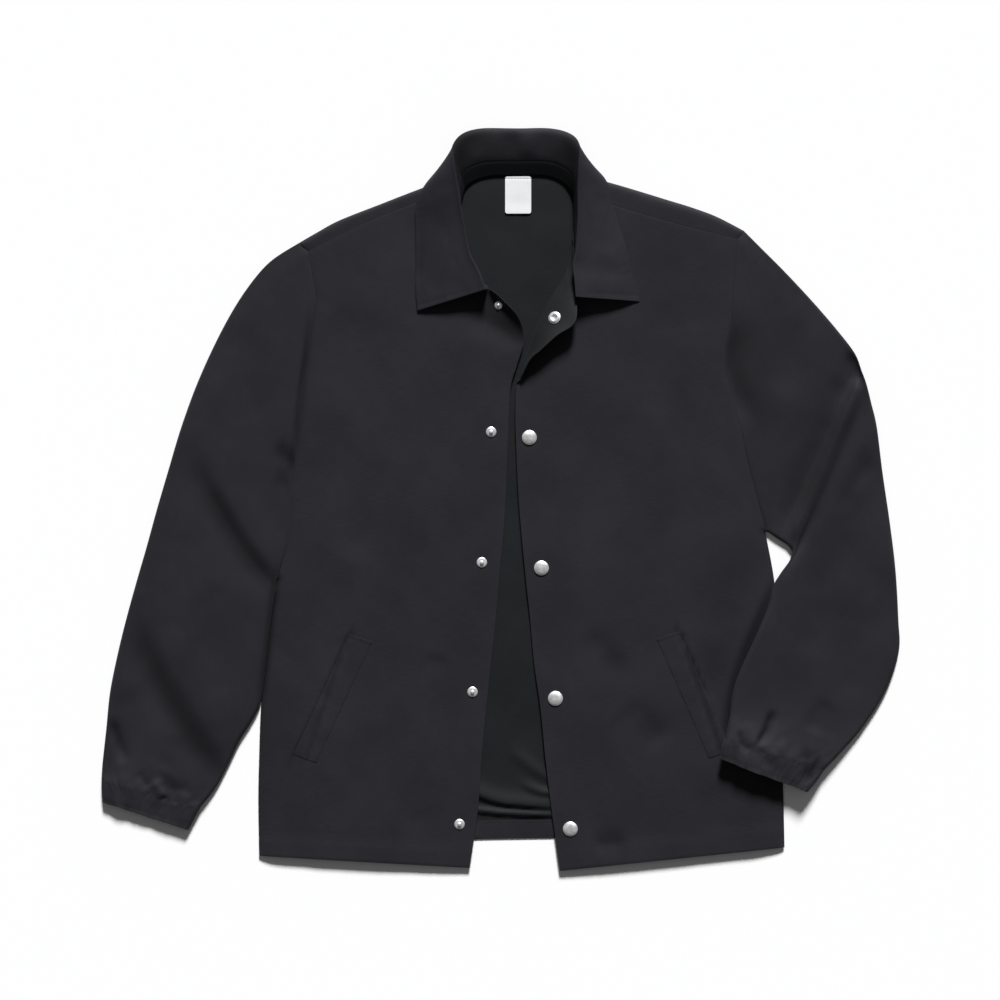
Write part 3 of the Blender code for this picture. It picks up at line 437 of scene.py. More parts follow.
leftFront = {
    "rows": [
        (305, -373, 65, -398, 2.1, 4.0),
        (304, -322, 55, -326, 2.1, 4.0),
        (302, -271, 49, -275, 2.1, 4.0),
        (300, -221, 44, -224, 2.1, 4.0),
        (298, -172, 37, -174, 2.1, 4.0),
        (297, -129, 33, -129, 2.1, 4.0),
        (294, -86, 28, -82, 2.6, 4.0),
        (284, -33, 23, -30, 3.6, 4.0),
        (276, 0, 20, 9, 4.5, 4.0),
        (265, 41, 18, 54, 4.9, 4.0),
        (257, 81, 17, 88, 4.9, 4.0),
        (249, 110, 18, 119, 4.9, 3.6),
        (242, 138, 23, 144, 4.9, 2.6),
        (241, 159, 30, 161, 4.9, 2.4),
        (247, 188, 38, 185, 4.9, 2.4),
        (249, 215, 52, 214, 4.9, 2.4),
        (251, 245, 72, 249, 4.9, 2.4),
        (253, 265, 79, 288, 4.9, 2.4),
        (255, 280, 82, 330, 4.9, 2.4),
    ],
    "armpitRow": 7,
    "bow": -3.0,
    "rowsMade": 200,
    "columnsMade": 70,
    "seed": 23,
    "creases": [
        (-1.6, 12, 18, [(92, -138), (106, -156), (120, -174), (132, -192)]),
        (-1.7, 12, 18, [(136, -216), (150, -232), (166, -248), (182, -262)]),
        (-1.6, 6, 14, [(100, -371), (114, -363), (134, -366)]),
        (-1.5, 8, 12, [(125, 319), (134, 315), (145, 311)]),
        (-0.9, 20, 30, [(150, 120), (130, 60), (124, 0), (130, -50)]),
        (-0.8, 16, 26, [(230, 210), (190, 190), (150, 196)]),
        (0.8, 18, 30, [(70, 60), (78, 0), (76, -60), (84, -110)]),
        (-0.8, 14, 24, [(260, -60), (240, -110), (228, -150)]),
        (-0.7, 12, 24, [(200, -330), (236, -318), (270, -322)]),
    ],
    # painted shade, such as the forearm's shadow and the pocket slit: darkness, reach left and right of the
    # run, points of the run
    "shades": [
        (0.95, 14, 5, [(308, -56), (294, -88), (283, -112), (269, -144), (257, -174), (248, -204),
                       (243, -236), (238, -262), (234, -290)]),
        (0.25, 14, 22, [(262, -70), (246, -120), (232, -170), (222, -215)]),
        (0.8, 2.2, 2.5, [(184, -124), (192, -142), (204, -170), (216, -198), (222, -212)]),
        (0.3, 12, 16, [(112, -160), (122, -176), (134, -196)]),
        (0.3, 12, 16, [(150, -230), (160, -244), (172, -256)]),
        (0.6, 4, 8, [(96, -371), (112, -364), (124, -363), (140, -367)]),
    ],
    "dimples": [(31, 67), (44, -73), (59, -213), (75, -353)],
    "pocket": [(191, -141), (168, -149), (224, -277), (248, -269)],
    # the top corner is turned back between these rows; its free side: x, y, z
    "flapRows": (11, 16.8),
    "flap": [(17, 117.5, 4.6), (31, 148.5, 16), (43.5, 160.5, 18.9), (60, 175.5, 20),
             (80.5, 192, 19.6), (79.9, 231, 10.4), (78.8, 276, 6.5)],
    "foldRadius": 2.1,
    "foldWidths": (0.3, 2.2),  # widths at which it starts to turn over and lies right back
    "selvedge": 0.5,
}

hem = {"width": 24.0, "step": 0.35, "draw": 0.3, "pucker": 0.18, "wave": 9.0}
placket = {"width": 38.0, "draw": 0.2, "pucker": 0.07, "wave": 11.0}


def pocketDip(x, y, corners):
    # the front sinks under its welt, most along the slit, and stands up a little beyond the slit
    outerTop, innerTop, _, outerLow = (np.array(corner, float) for corner in corners)
    across, along = innerTop - outerTop, outerLow - outerTop
    width, tall = np.linalg.norm(across), np.linalg.norm(along)
    u = ((x - outerTop[0]) * across[0] + (y - outerTop[1]) * across[1]) / width
    v = ((x - outerTop[0]) * along[0] + (y - outerTop[1]) * along[1]) / tall
    ends = smoothStep((v + 3) / 5) * smoothStep((tall + 3 - v) / 5)
    bed = smoothStep((u + 2.5) / 3.5) * smoothStep((width + 3.5 - u) / 4.5)
    slit = np.exp(-(((u - 0.5) / 2.6) ** 2))
    beyond = np.exp(-(((u + 5) / 3.4) ** 2)) * (0.75 + 0.5 * softNoise(v, v * 0, 15, 15, 131))
    return -ends * (0.25 * bed + 0.85 * slit - 0.9 * beyond)


def frontGrid(front):
    places = np.linspace(0, 1, front["rowsMade"])
    shares = crowded(front["columnsMade"], 0.06)[None, :]
    table = throughRows(front["rows"], places)[:, None, :]
    side, edge = table[..., 0:2], table[..., 2:4]
    spot = side + (edge - side) * shares[..., None]
    x, y = spot[..., 0], spot[..., 1]
    length = np.linalg.norm(edge - side, axis=-1)
    place = places[:, None]
    y = y + front["bow"] * np.sin(math.pi * shares) * smoothStep(place * 8 - 7)
    fromSide = 1 - np.exp(-shares * length / heights["sideReach"])
    fromEdge = 1 - np.exp(-(1 - shares) * length / heights["edgeReach"])
    top = table[..., 5] + (heights["top"] - table[..., 5]) * fromEdge
    z = table[..., 4] + (top - table[..., 4]) * fromSide
    grid = np.stack([x, y, z], -1)
    toHem = alongColumns(grid)
    toShoulder = toHem[-1:] - toHem
    toSide = shares * length
    toEdge = (1 - shares) * length
    seed = front["seed"]
    calm = (0.25 + 0.75 * smoothStep(toShoulder / 70)) * smoothStep(toSide / 22)
    z = z + creaseHeight(x, y, front["creases"]) * calm
    z += 0.5 * softNoise(x, y, 62, 105, seed) * calm
    z += 0.26 * softNoise(x + 0.4 * y, y, 26, 48, seed + 1) * calm
    z += 0.07 * softNoise(x, y, 9, 13, seed + 2)
    z += seamLine(toHem - hem["width"], x, hem["draw"], hem["pucker"], hem["wave"], seed + 4)
    z += hem["step"] * (1 - smoothStep((toHem - hem["width"] + 3) / 4))
    toPlacket = toEdge - placket["width"]
    sewn = seamLine(toPlacket, y, placket["draw"], placket["pucker"], placket["wave"], seed + 5)
    z += sewn * smoothStep((toShoulder - 160) / 40)
    z += 0.2 * np.exp(-((toEdge / 5) ** 2))
    if "neckLip" in front:
        # the neck corner stands up with the collar's end
        high, reach, topY, bottomY = front["neckLip"]
        edgeY = table[..., 3]
        lip = smoothStep((topY - edgeY) / 12) * smoothStep((edgeY - bottomY) / 34)
        z += high * lip * np.exp(-0.7 * toEdge / reach)
    for snapX, snapY in front["dimples"]:
        away = np.hypot(x - snapX, y - snapY)
        z -= 0.45 * np.exp(-((away / 10.5) ** 2))
    z += pocketDip(x, y, front["pocket"])
    z = np.maximum(z, heights["side"])
    armpit = front["armpitRow"] / (len(front["rows"]) - 1)
    toBack = np.maximum(table[..., 4] - 1.15, 0) * smoothStep(place * 90)
    sideDrop = np.where(place < armpit, toBack, cloth["seamDrop"])
    z -= sideDrop * np.exp(-((toSide / (cloth["seamReach"] * 1.3)) ** 2))
    z -= 0.1 * np.exp(-((toShoulder / cloth["seamReach"]) ** 2))
    return np.stack([x, y, z + cloth["raise"]], -1)


def turnBack(front, grid):
    # the corner past the fold line, rolled over and laid back on the front
    last = len(front["rows"]) - 1
    start, end = (row / last for row in front["flapRows"])
    arcSteps = np.linspace(0, 1, 9)[1:]
    freeSteps = np.linspace(0, 1, 14)[1:]
    up = np.array([0.0, 0.0, 1.0])
    rows = []
    for step, row in enumerate(grid):
        place = (step / (len(grid) - 1) - start) / (end - start)
        edge = row[-1]
        outward = edge - row[-2]
        outward[2] = 0
        outward = outward / np.linalg.norm(outward)
        free = throughRows(front["flap"], np.array([np.clip(place, 0, 1)]))[0]
        width = max(float((edge - free) @ outward), 0.0) if 0 <= place <= 1 else 0.0
        low, high = front["foldWidths"]
        angle = math.pi * float(smoothStep((width - low) / (high - low)))
        follow = float(smoothStep((width - high * 0.6) / (high * 0.8)))
        turned = (1 - math.cos(angle)) / 2
        radius = 0.45 + (front["foldRadius"] - 0.45) * float(smoothStep(width / 14))
        begin = edge - outward * radius * turned
        arc = []
        for part in arcSteps:
            out = radius * math.sin(angle * part) + front["selvedge"] * part * (1 - turned)
            arc.append(begin + outward * out + up * radius * (1 - math.cos(angle * part)))
        leave = outward * math.cos(angle) + up * math.sin(angle)
        lying = []
        for part in freeSteps:
            upright = arc[-1] + leave * (front["selvedge"] + width) * part
            back = arc[-1] + (free - arc[-1]) * part
            swell = up * 0.9 * math.sin(math.pi * part) * follow
            lying.append(upright + (back + swell - upright) * follow)
        rows.append(np.vstack([row[:-1], [begin], arc, lying]))
    return np.array(rows)


rightGrid = frontGrid(rightFront)
leftFlat = frontGrid(leftFront)
leftGrid = turnBack(leftFront, leftFlat)
rightSurface = surfaceOf(rightGrid)
leftSurface = surfaceOf(leftFlat)
flapSurface = surfaceOf(leftGrid)

# painted shade from each front's shades table goes into the fold attribute
rightMesh = gridMesh("frontRight", rightGrid, folds=paintedShadeAmount(rightGrid, rightFront["shades"]))
leftMesh = gridMesh("frontLeft", leftGrid, flip=True, folds=paintedShadeAmount(leftGrid, leftFront["shades"]))
frontRight = clothPiece("frontRight", rightMesh, shell, inside)
frontLeft = clothPiece("frontLeft", leftMesh, shell, inside)
finishPiece(frontRight, "shell", "front_right")
finishPiece(frontLeft, "shell", "front_left")
print("fronts made", round(sheetArea(rightGrid), 4), round(sheetArea(leftGrid), 4))


# Back: flat on the surface, and wrapped over both shoulders to the forward seams

back = {
    "shoulderRight": [(-216, 276), (-197, 287), (-173, 300), (-130, 317), (-81, 336), (-49, 347)],
    "shoulderLeft": [(91, 347), (116, 341), (150, 331), (179, 322), (205, 314), (232, 304), (261, 289)],
    "neckline": [(-49, 347), (-13, 349), (16, 350), (48, 349.5), (91, 347)],
    "hemRise": 13.0,
    "hemInset": 1.0,
    "rowsMade": 150,
    "shoulderColumns": 30,
    "neckColumns": 30,
    "archStart": 0.45,
    "foldInset": 2.0,
    # quarter turns round the shoulder's fold, and the share of the way on to the seam
    "wrap": [
        (0, 0), (0.25, 0), (0.5, 0), (0.75, 0), (1, 0), (1.25, 0.02), (1.5, 0.08), (1.7, 0.16),
        (1.85, 0.3), (1.95, 0.45), (2, 0.6), (2, 0.75), (2, 0.88), (2, 0.96), (2, 1),
    ],
    "foldTipLift": 1.2,
    "bandWidth": 19.6,
    "bandInset": 22.0,
    "bandHeight": 1.25,
    # ridges of loose cloth in the opening, above the turned-up hem
    "folds": [
        (3.2, 11, 2.6, [(-60, -304), (-40, -311), (-22, -318), (0, -325), (30, -328), (60, -330),
                        (90, -329)]),
        (2.6, 4.5, 2.2, [(-60, -328), (-30, -333), (0, -336.5), (30, -338), (60, -338.5), (90, -338)]),
        (2.0, 6, 3, [(20, -300), (32, -309), (44, -314), (58, -315), (76, -313)]),
        (1.6, 7, 5, [(8, -262), (20, -276), (34, -288), (50, -298), (66, -303)]),
        (0.9, 20, 14, [(-14, -60), (-8, -140), (-2, -220)]),
        (0.8, 14, 10, [(24, -110), (26, -180), (14, -250)]),
        (0.8, 26, 18, [(-20, 300), (-6, 240), (4, 180)]),
        (0.7, 22, 16, [(52, 310), (40, 262), (30, 214)]),
    ],
    "seed": 37,
}


def sideCurve(front, tip):
    points = [(row[0], row[1], row[4]) for row in front["rows"]]
    return points + [(*tip, (0.6 + heights["armhole"]) / 2 + back["foldTipLift"])]


def backHemY(share):
    right = rightFront["rows"][0][1]
    left = leftFront["rows"][0][1]
    middle = 1 - np.abs(2 * share - 1) ** 3
    return right + (left - right) * share + back["hemInset"] + back["hemRise"] * middle


def wrapRows(fold, seam):
    floor = cloth["floor"]
    away = fold - seam[:, :2]
    away = away / np.linalg.norm(away, axis=1)[:, None]
    seamPoint = seam.copy()
    seamPoint[:, :2] += away * cloth["seamGap"]
    radius = ((seamPoint[:, 2] + 0.5) - floor) / 2
    rows = []
    for quarters, onward in back["wrap"]:
        angle = quarters * math.pi / 2
        turn = np.empty((len(fold), 3))
        turn[:, :2] = fold - away * (radius * (1 - math.sin(angle)))[:, None]
        turn[:, 2] = floor + radius * (1 - math.cos(angle))
        row = turn + (seamPoint - turn) * onward
        row[:, 2] = np.maximum(row[:, 2], floor)
        rows.append(row)
    return rows


def backGrid():
    shares = np.linspace(0, 1, back["shoulderColumns"])
    foldRight = throughRows(back["shoulderRight"], shares)
    foldLeft = throughRows(back["shoulderLeft"], shares)
    rightSeam = throughRows(rightGrid[-1][::3], shares)
    leftSeam = throughRows(leftFlat[-1][::-3], shares)
    neck = throughRows(back["neckline"], np.linspace(0, 1, back["neckColumns"] + 1)[1:-1])
    top = np.vstack([foldRight, neck, foldLeft])
    along = (top[:, 0] - top[0, 0]) / (top[-1, 0] - top[0, 0])
    places = np.concatenate([np.linspace(0, 0.11, 56)[:-1], np.linspace(0.11, 1, back["rowsMade"] - 55)])
    start = throughRows(sideCurve(rightFront, back["shoulderRight"][0]), places)[:, None, :2]
    end = throughRows(sideCurve(leftFront, back["shoulderLeft"][-1]), places)[:, None, :2]
    spot = start + (end - start) * along[None, :, None]
    arch = top - (top[0] + (top[-1] - top[0]) * along[:, None])
    bow = smoothStep((places - back["archStart"]) / (1 - back["archStart"]))
    spot = spot + arch[None] * bow[:, None, None]
    # the hem's rise fades out over the lowest rows
    spot[..., 1] += (backHemY(along) - spot[0, :, 1])[None] * (1 - smoothStep(places / 0.1))[:, None]
    x, y = spot[..., 0], spot[..., 1]
    z = np.full(x.shape, cloth["floor"])
    fromSides = np.minimum(x - x[:, :1], x[:, -1:] - x)
    under = smoothStep((fromSides - 150) / 60)
    fromTop = smoothStep((places[-1] - places[:, None]) * 12)
    z += np.maximum(creaseHeight(x, y, back["folds"]), 0) * under * fromTop
    z += 0.25 * (1 + softNoise(x, y, 40, 70, back["seed"])) * under * fromTop
    z += 0.25 * np.exp(-((fromSides / 3) ** 2))
    inset = np.ones(len(top))
    inset[back["shoulderColumns"]:-back["shoulderColumns"]] = 0
    y[-1] -= back["foldInset"] * inset
    flat = np.stack([x, y, z], -1)
    blank = np.zeros((len(neck), 3))
    wrapRight = wrapRows(foldRight, rightSeam)
    wrapLeft = wrapRows(foldLeft, leftSeam)
    wraps = [np.vstack([right, blank, left]) for right, left in zip(wrapRight, wrapLeft)]
    grid = np.concatenate([flat, np.array(wraps)])
    leftOut = np.zeros((len(grid) - 1, grid.shape[1] - 1), bool)
    leftOut[len(flat) - 1:, back["shoulderColumns"] - 1:-back["shoulderColumns"] + 1] = True
    return grid, leftOut


def bandGrid():
    startX = rightFront["rows"][0][0]
    whole = leftFront["rows"][0][0] - startX
    x = startX + back["bandInset"] + np.linspace(0, whole - 2 * back["bandInset"], 180)
    hemY = backHemY((x - startX) / whole)
    rise = np.array([0.3, 0.8, 1.6, 3, 6, 9, 12, 14.5, 16, 17, 18, 18.9, back["bandWidth"]])
    y = hemY[None] + rise[:, None]
    height = back["bandHeight"] - 0.35 * np.exp(-rise / 0.8)
    z = height[:, None] + 0 * y
    run = np.broadcast_to(x[None], y.shape)
    toLine = np.broadcast_to((rise - (back["bandWidth"] - 2.5))[:, None], y.shape)
    z = z + seamLine(toLine, run, 0.12, 0.14, 8.0, 41) + 0.15 * softNoise(run, y, 22, 14, 43)
    return np.stack([run, y, np.maximum(z, 1.12)], -1)


backSheet, backGap = backGrid()
backPanel = clothPiece("backPanel", gridMesh("backPanel", backSheet, leftOut=backGap), inside, shell)
finishPiece(backPanel, "inside", "back_panel")
hemBand = bandGrid()
backHem = clothPiece("backHem", gridMesh("backHem", hemBand), shell, shell)
finishPiece(backHem, "shell", "back_hem")
print("back made", round(sheetArea(backSheet[:back["rowsMade"]]), 4), round(sheetArea(hemBand), 4))


# Sleeves. Columns of a row: outer x, outer y, inner x, inner y, upper wall over lower wall,
# lift off what it lies on

rightSleeve = {
    "rows": [
        (-216, 276, -239, -83, 4.9, 0),
        (-248, 255, -240.5, -87, 4.9, 0),
        (-274, 224, -241.5, -91, 4.9, 0),
        (-298, 184, -241.3, -96, 4.9, 0),
        (-323, 131, -242.2, -102, 4.9, 0),
        (-342, 80, -243.6, -111, 4.9, 0),
        (-357, 30, -245.5, -123, 4.9, 0),
        (-369, -11, -247.8, -140, 4.9, 0),
        (-380, -51, -250.4, -163, 4.9, 0),
        (-391, -89, -254.0, -194, 4.9, 0),
        (-402, -129, -258.2, -219, 4.9, 0),
        (-411, -166, -268, -239, 4.9, 0),
        (-419, -206, -280, -258, 4.9, 0),
        (-423, -245, -292, -283, 4.9, 0),
        (-427, -282, -306, -309, 5.5, 0),
        (-428, -299.5, -322, -329.4, 7.0, 0),
    ],
    # between these rows the inner edge lies over the side seam, this much higher
    "overSide": (2, 10, 1.3),
    "rowsMade": 170,
    "across": 76,
    "under": 26,
    "seed": 51,
    "creases": [
        (-2.8, 9, 20, [(-330, 64), (-318, 22), (-303, -12), (-285, -42), (-266, -68), (-246, -92),
                       (-228, -118)]),
        (1.2, 22, 8, [(-310, 44), (-296, 10), (-280, -18), (-262, -46), (-246, -66), (-226, -90)]),
        (-3.2, 12, 20, [(-392, -102), (-384, -146), (-369, -190), (-347, -230), (-324, -266),
                        (-300, -294), (-282, -322)]),
        (1.2, 26, 9, [(-368, -136), (-352, -178), (-332, -214), (-308, -250), (-284, -284)]),
        (-2.4, 6, 6, [(-418, -232), (-413, -250), (-407, -268), (-404, -284)]),
        (-1.6, 6, 7, [(-242, 58), (-232, 50), (-226, 44), (-222, 36)]),
        (-1.0, 6, 7, [(-240, 26), (-232, 22), (-225, 18)]),
        (-2.6, 6, 3.5, [(-203, 176), (-210, 140), (-215, 108), (-218, 80), (-223, 52)]),
        (-1.2, 6, 4, [(-388, -292), (-382, -300), (-376, -310)]),
        (-1.5, 6, 4, [(-364, -292), (-358, -303), (-352, -314), (-346, -328)]),
        (-1.3, 7, 4, [(-362, -311), (-350, -310), (-340, -312), (-328, -318)]),
        (2.2, 5, 5, [(-372, -300), (-366, -310), (-360, -320)]),
        (1.0, 22, 34, [(-300, 150), (-322, 80), (-330, 20)]),
        (-1.1, 14, 26, [(-262, 190), (-268, 130), (-262, 80)]),
        (1.2, 16, 26, [(-392, -110), (-402, -170), (-404, -220)]),
        (-0.9, 14, 22, [(-300, -90), (-312, -140), (-306, -190)]),
        (-1.0, 8, 16, [(-345, -252), (-352, -276), (-362, -292)]),
    ],
    # painted shade along creases and seams: darkness, reach left and right of the run, points of the run
    "shades": [
        (0.42, 7, 11, [(-334, 70), (-318, 24), (-303, -10), (-285, -41), (-266, -66), (-246, -90),
                       (-224, -122)]),
        (0.62, 9, 13, [(-394, -98), (-384, -146), (-369, -190), (-347, -230), (-324, -266),
                       (-300, -294), (-280, -326)]),
        (0.6, 5, 3, [(-202, 220), (-208, 176), (-214, 120), (-221, 70), (-228, 20)]),
        (0.85, 8, 8, [(-246, 62), (-234, 54), (-225, 44), (-219, 30)]),
        (0.5, 7, 7, [(-244, 28), (-233, 22), (-224, 14)]),
        (0.7, 3, 4, [(-238, -50), (-243, -92), (-248, -127), (-252, -165), (-257, -205), (-262, -244)]),
        (0.6, 4, 5, [(-417, -236), (-412, -252), (-408, -268)]),
        (0.6, 3, 3, [(-386, -296), (-381, -301), (-377, -306)]),
        (0.7, 3, 3, [(-363, -300), (-357, -309), (-352, -318)]),
        (0.3, 5, 5, [(-356, -313), (-348, -312), (-338, -315)]),
    ],
    "gathers": 301,
    "puckerHeight": 1.5,
    "puckerReach": 24.0,
}

leftSleeve = {
    "rows": [
        (261, 289, 284, -33, 4.9, 0),
        (283, 267, 286, -34, 4.9, 0),
        (305, 245, 289, -35, 4.9, 0),
        (334, 214, 293, -38, 4.9, 0),
        (360, 184, 299, -42, 4.6, 0),
        (380, 158, 305, -46, 4.2, 0),
        (388, 138, 308, -48, 4.2, 0),
        (393, 124, 313, -54, 4.6, 0),
        (398, 104, 312, -61, 4.9, 0),
        (404, 78, 309, -68, 5.2, 0),
        (410, 30, 300.5, -79, 5.2, 0),
        (418, -25, 292.5, -93, 5.2, 0),
        (424, -75, 287, -115, 5.2, 0),
        (427, -127, 275, -144, 5.2, 0),
        (427.5, -163, 264, -168, 5.2, 0),
        (414, -204, 254, -191, 5.2, 0),
        (391, -241, 248, -213, 5.2, 0.6),
        (367, -269, 245, -234, 5.6, 2.2),
        (347, -289.3, 241, -254.3, 7.0, 4.1),
    ],
    "rowsMade": 180,
    "across": 72,
    "under": 26,
    "seed": 67,
    "creases": [
        (-2.4, 12, 26, [(262, 190), (254, 160), (252, 132), (260, 100), (276, 80)]),
        (-1.6, 20, 20, [(352, 90), (334, 50), (318, 14), (306, -24)]),
        (-2.0, 4, 9, [(374, 160), (380, 151), (384, 141), (386, 130), (388, 118)]),
        (-1.3, 10, 20, [(368, 130), (352, 100), (346, 60)]),
        (-1.5, 9, 16, [(404, 44), (388, 30), (372, 8), (362, -16)]),
        (-3.8, 6, 2.6, [(290, -224), (288, -234), (284, -246), (278, -256), (277, -264)]),
        (-1.3, 5, 4, [(256, -244), (256, -254), (259, -262), (264, -270)]),
        (-1.6, 4, 6, [(324, -258), (327, -272), (328, -282), (325, -294), (319, -308)]),
        (-1.4, 4, 5, [(343, -270), (336, -284), (331, -295), (325, -308)]),
        (-1.3, 6, 6, [(266, -258), (276, -270), (284, -280), (294, -294)]),
        (1.0, 8, 9, [(262, -236), (266, -252), (272, -264)]),
        (0.9, 8, 8, [(296, -258), (304, -272), (310, -288)]),
        (1.0, 18, 30, [(400, -10), (392, -80), (380, -130)]),
        (-1.1, 16, 26, [(350, -60), (340, -120), (330, -170)]),
        (-1.3, 9, 18, [(330, -250), (338, -232), (352, -214)]),
        (-0.9, 12, 20, [(318, 200), (312, 150), (300, 110)]),
    ],
    # painted shade along creases, the elbow and the armhole: darkness, reach left and right of the run,
    # points of the run
    "shades": [
        (0.42, 10, 7, [(246, 214), (247, 184), (247, 156), (252, 128), (260, 98)]),
        (0.25, 26, 20, [(250, 200), (262, 150), (276, 100), (286, 60)]),
        (1.0, 5, 5, [(362, 176), (374, 160), (380, 150), (386, 140), (390, 128), (393, 118),
                     (396, 100)]),
        (0.38, 10, 20, [(388, 112), (366, 76), (346, 36), (326, -2), (308, -36)]),
        (0.3, 16, 10, [(398, 84), (386, 46), (370, 14), (350, -26)]),
        (0.7, 4, 4, [(290, -224), (287, -236), (283, -247), (277, -257), (275, -266)]),
        (0.5, 4, 3, [(256, -246), (256, -254), (260, -262)]),
        (0.6, 3, 4, [(326, -266), (328, -276), (328, -286), (323, -298)]),
        (0.7, 4, 4, [(343, -272), (337, -282), (332, -292), (327, -303)]),
    ],
    "gathers": 417,
    "puckerHeight": 1.5,
    "puckerReach": 24.0,
    # the forearm doubles back over the upper sleeve at this row
    "elbow": {
        "row": 6, "rowsMade": 56, "rowsAround": 1.5,
        # height, place along the sleeve from the fold, reach towards the shoulder and towards the cuff
        "waves": [(-1.8, -13, 13, 7), (2.6, 3, 6, 11), (-1.3, 26, 14, 26), (0.9, 60, 26, 40)],
    },
}

rest = {"clear": 0.45, "sideFall": 45.0, "climbY": -35.0, "climbReach": 40.0}


def onSurface(x, y):
    return np.full(np.shape(x), cloth["floor"])


def onLeftFront(x, y):
    # lies on the left front, and comes down to the surface beyond its side seam
    rows = np.array(leftFront["rows"])
    sideX = np.interp(y, rows[:, 1], rows[:, 0])
    within = sideX - x
    contact = heights["side"] + 1.2 + rest["clear"] - cloth["floor"]
    swell = 1 - np.exp(-np.maximum(within, 0) / heights["sideReach"])
    upon = contact + (heights["top"] - heights["side"]) * swell
    fallen = contact * smoothStep(1 + within / rest["sideFall"])
    climb = smoothStep((rest["climbY"] - y) / rest["climbReach"])
    return cloth["floor"] + np.where(within > 0, upon, fallen) * climb


def sleevePlaces(sleeve):
    # even along the sleeve, and closer together round the elbow's fold
    elbow = sleeve.get("elbow")
    even = np.linspace(0, 1, sleeve["rowsMade"])
    if not elbow:
        return even
    last = len(sleeve["rows"]) - 1
    middle = elbow["row"] / last
    around = elbow["rowsAround"] / last
    outside = even[np.abs(even - middle) > around]
    closer = np.linspace(middle - around, middle + around, elbow["rowsMade"])
    return np.sort(np.concatenate([outside, closer]))


def sleeveWall(sleeve, places, shares, armhole, ground, upper):
    rows = sleeve["rows"]
    table = throughRows(rows, places)[:, None, :]
    outer, inner = table[..., 0:2], table[..., 2:4]
    share = shares[None, :]
    spot = inner + (outer - inner) * share[..., None]
    length = np.linalg.norm(outer - inner, axis=-1)
    place = places[:, None]
    near = 0 * place
    rise = table[..., 4]
    low0 = cloth["floor"]
    if armhole is not None:
        near = 1 - smoothStep(place * len(rows) / 4.5)
        seam = throughRows(armhole, shares)
        firstOuter, firstInner = np.array(rows[0][0:2]), np.array(rows[0][2:4])
        chord = firstInner + (firstOuter - firstInner) * shares[:, None]
        fading = np.maximum(1 - place * len(rows) / 6, 0) ** 2
        spot = spot + (seam[:, :2] - chord)[None] * fading[..., None]
        rise = rise * (1 - near) + (seam[None, :, 2] - low0) * near
    x, y = spot[..., 0], spot[..., 1]
    low = ground(x, y) + np.maximum(table[..., 5], 0)
    reach = np.minimum(np.minimum(share, 1 - share) * length / 4.5, 1)
    full = np.sqrt(np.maximum(0, 1 - (1 - reach) ** 2))
    ends = np.where((share > 0) & (share < 1), 1.0, 0.4)
    full = full + (1 - full) * near * ends
    rise = rise + 0.55
    half = rise / 2
    lean = 0
    if "overSide" in sleeve:
        first, past, high = sleeve["overSide"]
        row = place * (len(rows) - 1)
        lean = high * smoothStep((row - first + 2) / 2) * smoothStep((past + 1 - row) / 2)
        lean = lean * (share < 0.5)
    distance = alongColumns(np.stack([x, y], -1))
    toCuff = distance[-1:] - distance
    wave = gatherField(share, -toCuff, sleeve["gathers"])
    gathered = np.exp(-((toCuff / sleeve["puckerReach"]) ** 1.5))
    if not upper:
        z = low + half + lean * (1 - full) - half * full
        lifted = 0.35 * sleeve["puckerHeight"] * (wave + 1) * gathered * full
        return np.stack([x, y, z + lifted], -1), distance
    z = low + half + lean * (1 - full) + half * full
    z += sleeveRelief(sleeve, x, y, full, smoothStep(distance / 8), 1 - near)
    z += elbowFold(sleeve, share, places, distance) * (1 - near)
    z += sleeve["puckerHeight"] * wave * gathered * full
    z = np.maximum(z, low + 0.9 + (half - 0.9) * (1 - full))
    z -= (cloth["seamDrop"] + 0.25) * np.exp(-((distance / cloth["seamReach"]) ** 2)) * full
    return np.stack([spot[..., 0], spot[..., 1], z], -1), distance


def sleeveRelief(sleeve, x, y, full, pastSeam=1.0, calm=1.0):
    # folds and soft unevenness of a sleeve's upper wall, which run on over its cuff
    seed = sleeve["seed"]
    relief = creaseHeight(x, y, sleeve["creases"]) * full ** 3 * pastSeam
    broad = 0.6 * softNoise(x, y, 48, 66, seed) + 0.3 * softNoise(x - 0.5 * y, y, 24, 34, seed + 1)
    relief += broad * full ** 2 * calm
    return relief + 0.08 * softNoise(x, y, 9, 12, seed + 2) * full


def gatherField(share, pastSeam, seed):
    # uneven gathers across a sleeve's end, from -1 to 1, as elastic draws them in
    across = share * 100 + 0.3 * pastSeam * softNoise(share * 100, share * 0, 30, 30, seed + 5)
    broad = softNoise(across, pastSeam, 11, 19, seed + 7)
    middle = softNoise(across, pastSeam, 6.3, 12, seed + 8)
    fine = softNoise(across, pastSeam, 3.1, 8, seed + 9)
    strength = 0.5 + 0.5 * softNoise(across, pastSeam, 21, 15, seed + 10)
    return 0.55 * broad + 0.5 * strength * middle + 0.28 * (1 - 0.6 * strength) * fine


def elbowFold(sleeve, share, places, distance):
    # a rounded fold across the bent sleeve, with the cloth drawn down on both sides of it
    elbow = sleeve.get("elbow")
    if not elbow:
        return 0
    atFold = elbow["row"] / (len(sleeve["rows"]) - 1)
    u = distance - np.array([np.interp(atFold, places, column) for column in distance.T])[None]
    edge = smoothStep(share / 0.12) * smoothStep((1 - share) / 0.1)
    raised = 0
    for height, middle, before, after in elbow["waves"]:
        raised += height * np.exp(-(((u - middle) / np.where(u < middle, before, after)) ** 2))
    return raised * edge


